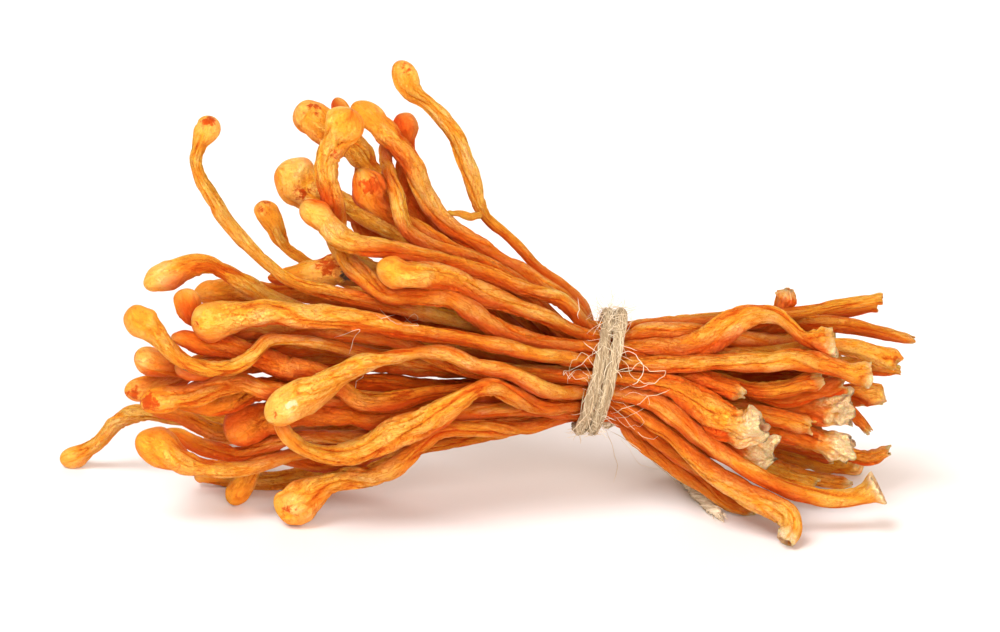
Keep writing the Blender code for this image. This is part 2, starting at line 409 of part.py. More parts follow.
        "butt": [(20.0, -3.4, 3.2, 0.82), (33.0, -4.0, 3.0, 0.82), (41.0, -5.8, 3.0, 0.85),
                 (42.8, -5.2, 3.0, 0.95), (42.8, -3.6, 3.0, 0.7)],
    },
}

# The free end of the twine, from the knot down to the surface: (x, y, height).
TAIL_ROUTE = [(13.0, 5.6, 8.6), (14.1, 8.4, 8.3), (16.2, 11.0, 7.3), (18.4, 12.2, 5.3), (20.3, 12.0, 3.1),
              (21.8, 10.4, 1.6), (22.8, 7.4, 0.9), (23.5, 4.4, 0.82), (24.3, 1.3, 0.82), (25.3, -1.8, 0.82),
              (26.5, -4.9, 0.82)]


def from_view(across, up, depth):
    # The point in space that shows at (across, up) and lies this far behind the middle of the tie.
    along = (depth - up * math.sin(VIEW_TILT)) / (
        math.cos(VIEW_TILT) + up * math.sin(VIEW_TILT) / VIEW_DISTANCE)
    spread = 1.0 + along / VIEW_DISTANCE
    height = VIEW_CENTRE_HEIGHT + up * spread * math.cos(VIEW_TILT) - along * math.sin(VIEW_TILT)
    return (across * spread, depth, height)


def waist_points(ring, degrees):
    # Two points that carry a stem straight through the tie.
    angle = math.radians(degrees)
    depth = -RING_RADIUS[ring] * math.cos(angle)
    rise = RING_RADIUS[ring] * math.sin(angle)
    middle = WAIST_X + WAIST_LEAN * rise
    return [(middle - WAIST_HALF_LENGTH, depth, WAIST_HEIGHT + rise),
            (middle + WAIST_HALF_LENGTH, depth, WAIST_HEIGHT + rise)]


def stem_route(stem):
    head = [from_view(*point[:3]) for point in stem["head"]]
    butt = [from_view(*point[:3]) for point in stem["butt"]]
    points = head + waist_points(*stem["place"]) + butt
    radii = [point[3] for point in stem["head"]] + [WAIST_STEM_RADIUS] * 2
    radii += [point[3] for point in stem["butt"]]
    return np.array(points), np.array(radii)


def closest_between(start_a, end_a, start_b, end_b):
    # Where two straight stretches come nearest, as a share along each, for many pairs at once.
    run_a = end_a - start_a
    run_b = end_b - start_b
    between = start_a - start_b
    aa = (run_a * run_a).sum(1)
    bb = (run_b * run_b).sum(1)
    ab = (run_a * run_b).sum(1)
    ac = (run_a * between).sum(1)
    bc = (run_b * between).sum(1)
    spread = np.maximum(aa * bb - ab * ab, 1e-9)
    share_a = np.clip((ab * bc - ac * bb) / spread, 0.0, 1.0)
    share_b = np.clip((ab * share_a + bc) / bb, 0.0, 1.0)
    share_a = np.clip((ab * share_b - ac) / aa, 0.0, 1.0)
    return share_a, share_b


def near_pairs(points, radii, starts, owners):
    # Stretches of different stems that lie within reach of one another.
    middles = (points[starts] + points[starts + 1]) / 2
    reach = np.linalg.norm(points[starts + 1] - points[starts], axis=1) / 2
    reach += np.maximum(radii[starts], radii[starts + 1])
    apart = np.linalg.norm(middles[:, None] - middles[None, :], axis=2)
    close = apart < reach[:, None] + reach[None, :] + NEAR
    close &= owners[starts][:, None] < owners[starts][None, :]
    return np.nonzero(close)


def ease_apart(routes, radii_lists, fronts):
    # Moves the stems off one another and off the surface, mostly along the line of sight in front.
    sizes = [len(route) for route in routes]
    firsts = np.concatenate([[0], np.cumsum(sizes)[:-1]])
    points = np.concatenate(routes)
    drawn = points.copy()
    radii = np.concatenate(radii_lists)
    owners = np.repeat(np.arange(len(routes)), sizes)
    starts = np.nonzero(owners[:-1] == owners[1:])[0]
    free = np.ones(len(points))
    shy = np.ones(len(points))
    for route_number, first in enumerate(firsts):
        waist = first + fronts[route_number]["waist"]
        free[waist:waist + 2] = 0.0
        if fronts[route_number]["front"]:
            shy[owners == route_number] = SHY
    sight = np.array([0.0, math.cos(VIEW_TILT), -math.sin(VIEW_TILT)])
    first_set = set(firsts.tolist())
    last_set = set((firsts + np.array(sizes) - 1).tolist())
    inner = np.array([i for i in range(len(points)) if i not in first_set and i not in last_set])
    ends = np.array(sorted(first_set | last_set))
    beside_ends = np.array([i + 1 if i in first_set else i - 1 for i in ends])
    for step in range(EASE_STEPS):
        if step % LOOK_AGAIN_EVERY == 0:
            first_stretch, second_stretch = near_pairs(points, radii, starts, owners)
            a0 = starts[first_stretch]
            b0 = starts[second_stretch]
        share_a, share_b = closest_between(points[a0], points[a0 + 1], points[b0], points[b0 + 1])
        on_a = points[a0] + (points[a0 + 1] - points[a0]) * share_a[:, None]
        on_b = points[b0] + (points[b0 + 1] - points[b0]) * share_b[:, None]
        radius_a = radii[a0] + (radii[a0 + 1] - radii[a0]) * share_a
        radius_b = radii[b0] + (radii[b0 + 1] - radii[b0]) * share_b
        away = on_a - on_b
        distance = np.maximum(np.linalg.norm(away, axis=1), 1e-6)
        lacking = radius_a + radius_b + GAP - distance
        touching = lacking > 0.0
        away = away[touching] / distance[touching][:, None] * lacking[touching][:, None] / 2
        push = np.zeros_like(points)
        count = np.zeros(len(points))
        for index, share, sign in ((a0, 1 - share_a, 1), (a0 + 1, share_a, 1),
                                   (b0, 1 - share_b, -1), (b0 + 1, share_b, -1)):
            np.add.at(push, index[touching], sign * away * share[touching][:, None])
            np.add.at(count, index[touching], share[touching])
        push /= np.maximum(count, LEAST_SHARE)[:, None]
        along_sight = (push @ sight)[:, None] * sight
        push = along_sight + (push - along_sight) * shy[:, None]
        points += push * free[:, None]
        points[:, 2] += np.maximum(radii - points[:, 2], 0.0) * free
        if step < SMOOTH_STEPS:
            moved = points - drawn
            eased = moved.copy()
            neighbours = (moved[inner - 1] + moved[inner + 1]) / 2
            eased[inner] = INNER_HOLD * moved[inner] + (1.0 - INNER_HOLD) * neighbours
            eased[ends] = END_HOLD * moved[ends] + (1.0 - END_HOLD) * moved[beside_ends]
            points = drawn + eased * SPRING_BACK * free[:, None]
    return [points[first:first + size] for first, size in zip(firsts, sizes)]


def plain_material(name, colour, roughness):
    material = bpy.data.materials.new(name)
    material.use_nodes = True
    shader = material.node_tree.nodes["Principled BSDF"]
    shader.inputs["Base Color"].default_value = colour
    shader.inputs["Roughness"].default_value = roughness
    shader.inputs["Metallic"].default_value = 0.0
    return material


def tube(name, points, radii, resolution):
    curve = bpy.data.curves.new(name, "CURVE")
    curve.dimensions = "3D"
    curve.bevel_depth = MM
    curve.bevel_resolution = resolution
    curve.use_fill_caps = True
    spline = curve.splines.new("POLY")
    spline.points.add(len(points) - 1)
    for point, place, radius in zip(spline.points, points, radii):
        point.co = (place[0] * MM, place[1] * MM, place[2] * MM, 1.0)
        point.radius = radius
    return bpy.data.objects.new(name, curve)


def twine_loop_points():
    # The winding leans with the waist and starts and ends at the knot underneath, at the back.
    steps = round(TWINE_TURNS * TWINE_POINTS_A_TURN)
    points = []
    for step in range(steps + 1):
        turn = step / TWINE_POINTS_A_TURN
        angle = KNOT_ANGLE + 2 * math.pi * turn
        rise = TWINE_LOOP_RADIUS * math.sin(angle)
        across = WAIST_X + WAIST_LEAN * rise + TWINE_PITCH * (turn - TWINE_TURNS / 2)
        points.append((across, -TWINE_LOOP_RADIUS * math.cos(angle), WAIST_HEIGHT + rise))
    return points


def solid_from(curve_object):
    # A closed mesh of a tube, with its caps welded on.
    graph = bpy.context.evaluated_depsgraph_get()
    mesh = bpy.data.meshes.new_from_object(curve_object.evaluated_get(graph))
    shape = bmesh.new()
    shape.from_mesh(mesh)
    bmesh.ops.remove_doubles(shape, verts=shape.verts, dist=1e-6)
    shape.to_mesh(mesh)
    shape.free()
    solid = bpy.data.objects.new(curve_object.name + "_solid", mesh)
    solid.matrix_world = curve_object.matrix_world
    return solid


def smooth_line(points, spacing):
    # Points a fixed distance apart on a smooth curve through the given ones.
    given = np.array(points)
    extended = np.vstack([2 * given[0] - given[1], given, 2 * given[-1] - given[-2]])
    fine = []
    for before, start, end, after in zip(extended, extended[1:], extended[2:], extended[3:]):
        for share in np.linspace(0.0, 1.0, ROUTE_STEPS, endpoint=False):
            fine.append(0.5 * (2 * start + (end - before) * share
                               + (2 * before - 5 * start + 4 * end - after) * share ** 2
                               + (3 * start - before - 3 * end + after) * share ** 3))
    fine.append(given[-1])
    fine = np.array(fine)
    lengths = np.concatenate([[0.0], np.cumsum(np.linalg.norm(np.diff(fine, axis=0), axis=1))])
    count = round(lengths[-1] / spacing) + 1
    wanted = np.linspace(0.0, lengths[-1], count)
    return np.column_stack([np.interp(wanted, lengths, fine[:, axis]) for axis in range(3)])


def make_stems(collection):
    names = list(STEMS)
    drawn = [stem_route(STEMS[name]) for name in names]
    notes = [{"waist": len(STEMS[name]["head"]), "front": STEMS[name].get("front", False)} for name in names]
    routes = ease_apart([route for route, _ in drawn], [radii for _, radii in drawn], notes)
    stems = []
    for number, (name, route) in enumerate(zip(names, routes)):
        stem = tube(name, route, drawn[number][1], STEM_SIDES_RESOLUTION)
        shade = SHADE_STEP * (number % SHADES)
        if "dark" in name or "brown" in name:
            shade += DARK_STEM_SHADE
        colour = tuple(bright + (dull - bright) * shade for bright, dull in zip(ORANGE, BROWN))
        stem.data.materials.append(plain_material(name, colour, STEM_ROUGHNESS))
        collection.objects.link(stem)
        stems.append(stem)
    return stems


def make_twine(collection, helpers):
    loop_points = twine_loop_points()
    loop = tube("twine_loop", loop_points, [TWINE_RADIUS] * len(loop_points), TWINE_SIDES_RESOLUTION)
    helpers.objects.link(loop)
    winding = solid_from(loop)
    winding.name = "twine_tie"
    collection.objects.link(winding)
    bpy.data.objects.remove(loop)

    knot_distance = TWINE_LOOP_RADIUS + KNOT_SIZE[2] * KNOT_STANDS_OUT
    bpy.ops.mesh.primitive_uv_sphere_add(segments=KNOT_SEGMENTS, ring_count=KNOT_RINGS, radius=MM)
    knot = bpy.context.object
    knot.name = "twine_knot"
    knot.scale = KNOT_SIZE
    knot.rotation_euler = (math.pi / 2 - KNOT_ANGLE, 0.0, 0.0)
    knot.location = ((WAIST_X + WAIST_LEAN * TWINE_LOOP_RADIUS * math.sin(KNOT_ANGLE)) * MM,
                     -knot_distance * math.cos(KNOT_ANGLE) * MM,
                     (WAIST_HEIGHT + knot_distance * math.sin(KNOT_ANGLE)) * MM)
    for holder in list(knot.users_collection):
        holder.objects.unlink(knot)
    helpers.objects.link(knot)
    knot.hide_render = True
    knot.display_type = "WIRE"
    union = winding.modifiers.new("knot", "BOOLEAN")
    union.operation = "UNION"
    union.object = knot
    winding.data.materials.clear()
    winding.data.materials.append(plain_material("twine_tie", STRAW, TWINE_ROUGHNESS))

    tail_points = smooth_line(TAIL_ROUTE, TAIL_SPACING)
    tail = tube("twine_tail", tail_points, [TAIL_RADIUS] * len(tail_points), TAIL_SIDES_RESOLUTION)
    tail.data.materials.append(plain_material("twine_tail", STRAW, TWINE_ROUGHNESS))
    collection.objects.link(tail)
    return winding, knot, tail


def lowest_and_highest(objects):
    graph = bpy.context.evaluated_depsgraph_get()
    corners = []
    for thing in objects:
        evaluated = thing.evaluated_get(graph)
        mesh = evaluated.to_mesh()
        corners += [evaluated.matrix_world @ vertex.co for vertex in mesh.vertices]
        evaluated.to_mesh_clear()
    places = np.array(corners)
    return places.min(axis=0), places.max(axis=0)


def main():
    for thing in list(bpy.data.objects):
        bpy.data.objects.remove(thing)
    bundle = bpy.data.collections.new("cordyceps_bundle")
    helpers = bpy.data.collections.new("helpers")
    bpy.context.scene.collection.children.link(bundle)
    bpy.context.scene.collection.children.link(helpers)

    stems = make_stems(bundle)
    winding, knot, tail = make_twine(bundle, helpers)

    # The origin is under the middle of the bunch, on the surface that it lies on.
    middle = bpy.data.objects.new("bundle_middle", None)
    bundle.objects.link(middle)
    low, high = lowest_and_highest(stems + [winding])
    for thing in stems + [winding, knot, tail]:
        thing.parent = middle
    middle.location = (-(low[0] + high[0]) / 2, -(low[1] + high[1]) / 2, -low[2])
    bpy.context.view_layer.update()


main()
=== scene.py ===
import json
import math
from functools import partial

import bmesh
import bpy
import numpy as np
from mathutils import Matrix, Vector
from mathutils.kdtree import KDTree


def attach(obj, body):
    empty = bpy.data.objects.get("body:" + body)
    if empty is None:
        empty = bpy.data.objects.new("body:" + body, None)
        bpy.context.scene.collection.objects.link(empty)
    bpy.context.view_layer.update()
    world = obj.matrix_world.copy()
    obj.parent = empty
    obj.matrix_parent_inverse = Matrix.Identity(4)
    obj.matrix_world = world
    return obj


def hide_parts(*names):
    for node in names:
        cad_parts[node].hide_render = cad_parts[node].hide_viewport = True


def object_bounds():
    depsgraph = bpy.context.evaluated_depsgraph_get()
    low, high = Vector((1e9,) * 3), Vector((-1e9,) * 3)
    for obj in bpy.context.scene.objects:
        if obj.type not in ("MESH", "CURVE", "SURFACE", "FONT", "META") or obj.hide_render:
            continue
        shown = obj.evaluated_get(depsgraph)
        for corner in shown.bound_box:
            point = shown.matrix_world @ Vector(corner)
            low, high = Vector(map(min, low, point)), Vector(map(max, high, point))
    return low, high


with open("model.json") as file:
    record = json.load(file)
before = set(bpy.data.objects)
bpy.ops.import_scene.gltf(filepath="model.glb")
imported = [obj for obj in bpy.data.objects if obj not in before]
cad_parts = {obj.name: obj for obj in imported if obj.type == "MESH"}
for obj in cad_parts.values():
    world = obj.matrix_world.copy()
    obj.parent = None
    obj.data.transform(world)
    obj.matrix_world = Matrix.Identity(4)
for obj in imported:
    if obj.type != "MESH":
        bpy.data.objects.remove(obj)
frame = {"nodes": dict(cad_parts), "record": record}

cadLow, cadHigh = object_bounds()
mm = 0.001

# The camera looks along +Y, a little from above. Everything is in millimetres and degrees.
cameraSpec = {
    "originShift": (2.483, -2.951, -0.110),      # from the drawing's middle to the part's origin
    "targetHeight": 24.4,
    "tilt": 18.0,
    "distance": 450.0,
    "widthAtTarget": 120.0,
    "sensor": 36.0,
    "clip": (0.01, 20.0),                        # in metres
}
originShift = np.array(cameraSpec["originShift"])
viewTilt = math.radians(cameraSpec["tilt"])
sight = np.array([0.0, math.cos(viewTilt), -math.sin(viewTilt)])
viewUp = np.array([0.0, math.sin(viewTilt), math.cos(viewTilt)])
viewTarget = originShift + np.array([0.0, 0.0, cameraSpec["targetHeight"]])
eye = viewTarget - sight * cameraSpec["distance"]


def addObject(name, data):
    thing = bpy.data.objects.new(name, data)
    bpy.context.scene.collection.objects.link(thing)
    return thing


def makeCamera(spec):
    data = bpy.data.cameras.new("camera")
    data.sensor_width = spec["sensor"]
    data.lens = spec["sensor"] * spec["distance"] / spec["widthAtTarget"]
    data.clip_start, data.clip_end = spec["clip"]
    camera = addObject("camera", data)
    camera.location = eye * mm
    camera.rotation_euler = (math.pi / 2 - viewTilt, 0.0, 0.0)
    bpy.context.scene.camera = camera


makeCamera(cameraSpec)
print("camera ready")


# Shaping helpers. They all work in millimetres.
floorGap = {"piece": 0.02, "fibre": 0.04}        # the least height of a surface, and of a fibre's middle


def smoothThrough(values, perSpan):
    # a smooth curve through rows of numbers; the first three columns are the place
    steps = np.linalg.norm(np.diff(values[:, :3], axis=0), axis=1)
    slopes = np.diff(values, axis=0) / steps[:, None]
    tangents = np.empty_like(values)
    tangents[1:-1] = (slopes[:-1] * steps[1:, None] + slopes[1:] * steps[:-1, None]) / (
        steps[:-1] + steps[1:])[:, None]
    tangents[0] = 1.5 * slopes[0] - 0.5 * tangents[1]
    tangents[-1] = 1.5 * slopes[-1] - 0.5 * tangents[-2]
    share = np.linspace(0.0, 1.0, perSpan, endpoint=False)[:, None]
    rows = []
    for i, step in enumerate(steps):
        rows.append((2 * share ** 3 - 3 * share ** 2 + 1) * values[i]
                    + (share ** 3 - 2 * share ** 2 + share) * step * tangents[i]
                    + (3 * share ** 2 - 2 * share ** 3) * values[i + 1]
                    + (share ** 3 - share ** 2) * step * tangents[i + 1])
    rows.append(values[-1:])
    return np.vstack(rows)


def lengthsAlong(places):
    return np.concatenate([[0.0], np.cumsum(np.linalg.norm(np.diff(places[:, :3], axis=0), axis=1))])


def pickAlong(wanted, reach, columns):
    return np.column_stack([np.interp(wanted, reach, columns[:, i]) for i in range(columns.shape[1])])


def turningFrames(places):
    # two directions across the line at each place, carried along it without twist
    ahead = np.gradient(places, axis=0)
    ahead /= np.linalg.norm(ahead, axis=1)[:, None]
    side = np.cross(ahead[0], (0.0, 0.0, 1.0) if abs(ahead[0][2]) < 0.9 else (1.0, 0.0, 0.0))
    sides = np.empty_like(places)
    for i, direction in enumerate(ahead):
        side = side - direction * np.dot(side, direction)
        side = side / np.linalg.norm(side)
        sides[i] = side
    return ahead, sides, np.cross(ahead, sides)


def tubeGrid(middles, sides, ups, wide, angle):
    # rings of places round a line, so wide from it at each angle
    grid = middles + sides[:, None, :] * (wide * np.cos(angle))[:, :, None]
    return grid + ups[:, None, :] * (wide * np.sin(angle))[:, :, None]


def cubicWeights(share):
    return (-0.5 * share + share ** 2 - 0.5 * share ** 3, 1 - 2.5 * share ** 2 + 1.5 * share ** 3,
            0.5 * share + 2 * share ** 2 - 1.5 * share ** 3, -0.5 * share ** 2 + 0.5 * share ** 3)


def wrappedField(dice, cellSize, along, around):
    # smooth random values from about -1 to 1 over a tube: along in millimetres, around from 0 to 1.
    # A cell's size is its length and how many lie side by side round the tube
    cellLength, aroundCells = cellSize
    start = along.min()
    cells = int((along.max() - start) / cellLength) + 2
    table = dice.uniform(-1.0, 1.0, (cells + 4, aroundCells))
    row = (along - start) / cellLength + 1
    column = (around % 1.0) * aroundCells
    rowStart = np.floor(row).astype(int)
    columnStart = np.floor(column).astype(int)
    rowWeights = cubicWeights(row - rowStart)
    columnWeights = cubicWeights(column - columnStart)
    total = 0.0
    for i in range(4):
        for j in range(4):
            cell = table[rowStart + i - 1, (columnStart + j - 1) % aroundCells]
            total = total + rowWeights[i] * columnWeights[j] * cell
    return total


def softStep(value, low, high):
    share = np.clip((value - low) / (high - low), 0.0, 1.0)
    return share * share * (3 - 2 * share)


def clearSelection():
    for thing in bpy.context.selected_objects:
        thing.select_set(False)


def sphereGrid(name, around, rings):
    # a uv sphere, and which ring and which column each of its vertices is on
    clearSelection()
    bpy.ops.mesh.primitive_uv_sphere_add(segments=around, ring_count=rings, radius=1.0, location=(0, 0, 0))
    piece = bpy.context.object
    piece.name = name
    piece.data.name = name
    places = np.empty(len(piece.data.vertices) * 3)
    piece.data.vertices.foreach_get("co", places)
    places = places.reshape(-1, 3)
    ring = np.rint(np.arccos(np.clip(places[:, 2], -1, 1)) / math.pi * rings).astype(int)
    column = np.rint(np.arctan2(places[:, 1], places[:, 0]) / (2 * math.pi) * around).astype(int) % around
    return piece, ring, column


def keepValues(piece, name, values):
    kind = "FLOAT_VECTOR" if values.ndim == 2 else "FLOAT"
    layer = piece.data.attributes.new(name, kind, "POINT")
    layer.data.foreach_set("vector" if values.ndim == 2 else "value", values.ravel().astype(np.float32))


def putPlaces(piece, places):
    places[:, 2] = np.maximum(places[:, 2], floorGap["piece"])
    piece.data.vertices.foreach_set("co", (places * mm).ravel())
    piece.data.update()
    piece.data.polygons.foreach_set("use_smooth", np.ones(len(piece.data.polygons), bool))


def inView(places):
    # where places show in the camera's view, across and up from its middle
    gap = places - eye
    far = gap @ sight
    return gap[:, 0] / far * cameraSpec["distance"], (gap @ viewUp) / far * cameraSpec["distance"]


def viewRay(across, up):
    # from the camera towards a place in its view
    return viewTarget + np.array([across, 0.0, 0.0]) + viewUp * up - eye


# The stems. Each one's line is read from its solid, a six-sided tube of triangles.
solidForm = {"sides": 6, "weldInMetres": 2e-6, "sameFacing": 0.99995, "evenReach": 1.03}


def nodeRings(node, form):
    # the rings of a stem's solid, from the head to the butt, as (x, y, z, radius)
    shape = bmesh.new()
    shape.from_mesh(frame["nodes"][node].data)
    bmesh.ops.remove_doubles(shape, verts=shape.verts, dist=form["weldInMetres"])
    caps = []
    seen = set()
    for face in shape.faces:
        if face.index in seen:
            continue
        flat = {face}
        todo = [face]
        while todo:
            current = todo.pop()
            for edge in current.edges:
                for other in edge.link_faces:
                    if other not in flat and other.normal.dot(face.normal) > form["sameFacing"]:
                        flat.add(other)
                        todo.append(other)
        seen.update(f.index for f in flat)
        corners = {v for f in flat for v in f.verts}
        if len(flat) != form["sides"] - 2 or len(corners) != form["sides"]:
            continue
        middle = sum((v.co for v in corners), Vector()) / form["sides"]
        reaches = [(v.co - middle).length for v in corners]
        if max(reaches) < form["evenReach"] * min(reaches):
            caps.append(corners)
    caps.sort(key=lambda corners: sum(v.co.x for v in corners))
    ring = caps[0]
    used = set(ring)
    rows = []
    while ring:
        middle = sum((v.co for v in ring), Vector()) / len(ring)
        reach = sum((v.co - middle).length for v in ring) / len(ring)
        rows.append([*(middle / mm), reach / mm])
        ring = {e.other_vert(v) for v in ring for e in v.link_edges} - used
        used |= ring
    shape.free()
    return np.array(rows)


# How a stem is finished, unless its own notes below say otherwise. A field is the size of its cells, as
# wrappedField takes it. Depths are shares of the radius, and lengths are in millimetres.
stemLook = {
    "seed": 700,
    "smoothing": 16,            # rows of its line between two of the solid's rings
    "around": 56,
    "tipRows": 13,
    "rowGap": 0.52,
    "endRowGap": 0.24,
    "buttReach": 4.0,
    "insideRows": 6,
    "beyond": 0.28,             # how far the rounded tip reaches past the solid's end
    "blunt": 2.1,               # 2 for a round tip, more for a squarer one
    "headFade": (-0.2, 3.6),    # from the head's widest place, where it turns into the stalk
    "headCalm": 0.62,           # how much of the stalk's folds a head lacks
    "wander": 0.07,             # how far folds wander round the stem, as a share of a turn
    "wanderField": (5.0, 3),
    "lean": 0.02,
    "fold": 0.19,
    "foldField": (8.0, 4),
    "crease": 0.31,
    "creaseLift": 0.25,         # how far the flesh between creases swells, as a share of their depth
    "creaseField": (8.0, 7),
    "creaseWidth": 0.13,
    "wrinkle": 0.16,
    "wrinkleLift": 0.3,
    "wrinkleField": (2.6, 13),
    "wrinkleWidth": 0.20,
    "knobs": 0.14,
    "knobField": (1.7, 2),
    "headFold": 0.15,
    "lumpField": (3.0, 3),
    "smallLumpField": (1.1, 8),
    "smallLumps": 0.5,
    "lumpSink": 0.25,
    "crumple": 0.30,
    "crumpleField": (0.9, 6),
    "pucker": 0.07,
    "puckerGap": 1.25,
    "puckerBends": (3.0, 20.0),     # how far folds and their wander push the puckers along
    "puckerKeen": 6.0,
    "flat": 0.12,
    "flatTwist": (0.12, 1.2, 9.0),  # turn for each millimetre, its swing and the swing's length
    "facing": False,            # flattened towards the viewer, as a ribbon
    "leastRadius": 0.25,        # as a share of the plain one
    "innerWide": 0.86,          # the hollow's mouth, as a share of the rim
    "innerTaper": 0.5,
    "closedReach": 1.2,
    "flareCurve": 1.5,
    "toothCurve": 2.5,
    "sway": 0.13,
    "swayPeriods": ((3.2, 0.5), (8.0, 1.0)),     # (length, share of the sway)
    "tone": 0.15,               # 0 bright orange to 1 red-brown
    "butt": "torn",
    "rimCells": (5, 11, 7, 15),     # lobes and small lobes, teeth and small teeth round the rim
    "rimReach": 0.8,
    "pits": 8,
    "pitSize": (0.12, 0.34),
    "pitDepth": 0.09,
    "pitReach": 3.0,            # how far past the head's widest place pits still come
    "marks": [],                # (kind, across, up, size, strength)
    "markFacing": (-0.2, 0.3),  # how squarely the camera sees a place that carries marks
    "grainGap": 40.0,           # between the patterns of two stems
}

# A stem that is flattened as a ribbon, measured from its broken end.
ribbonForm = {"starts": (4.0, 8.0), "ends": (17.0, 23.0), "plain": 0.08, "widen": 0.22, "thin": 0.30,
              "smoother": 0.5}

# Painted shade and highlight: how much creases and wrinkles darken the colour, and how much what stands out
# lightens it.
paintedReliefShares = {"crease": 0.80, "wrinkle": 0.45, "fold": 0.35, "knobs": 0.25, "lumps": 0.4, "crumple": 0.5}

# Broken ends. flare: the rim's width over the stem's. lobes: how strongly the rim folds in and out.
# ragged: how far its teeth stand. deep: how far the hollow goes in. closed: how much it draws together.
buttKinds = {
    "cut": {"flare": 1.0, "lobes": 0.06, "ragged": 0.12, "deep": 0.3, "closed": 0.0, "reach": 2.0,
            "pale": 0.5, "creamy": 0.5, "grey": 0.15},
    "torn": {"flare": 1.08, "lobes": 0.24, "ragged": 0.5, "deep": 0.8, "closed": 0.2, "reach": 3.0,
             "pale": 1.6, "creamy": 0.6, "grey": 0.45},
    "trumpet": {"flare": 1.25, "lobes": 0.20, "ragged": 0.25, "deep": 1.5, "closed": 0.0, "reach": 3.5,
                "pale": 2.4, "creamy": 0.8, "grey": 0.6},
    "flared": {"flare": 1.12, "lobes": 0.10, "ragged": 0.14, "deep": 1.0, "closed": 0.0, "reach": 2.6,
               "pale": 2.2, "creamy": 0.8, "grey": 0.7},
    "frill": {"flare": 1.2, "lobes": 0.34, "ragged": 1.0, "deep": 1.6, "closed": 0.1, "reach": 6.0,
              "pale": 7.0, "creamy": 1.0, "grey": 0.9},
    "knob": {"flare": 1.15, "lobes": 0.28, "ragged": 0.3, "deep": 0.4, "closed": 0.55, "reach": 2.6,
             "pale": 2.6, "creamy": 0.75, "grey": 0.5},
    "nub": {"flare": 1.3, "lobes": 0.34, "ragged": 0.12, "deep": 0.2, "closed": 0.65, "reach": 2.2,
            "pale": 2.2, "creamy": 0.6, "grey": 0.7},
}

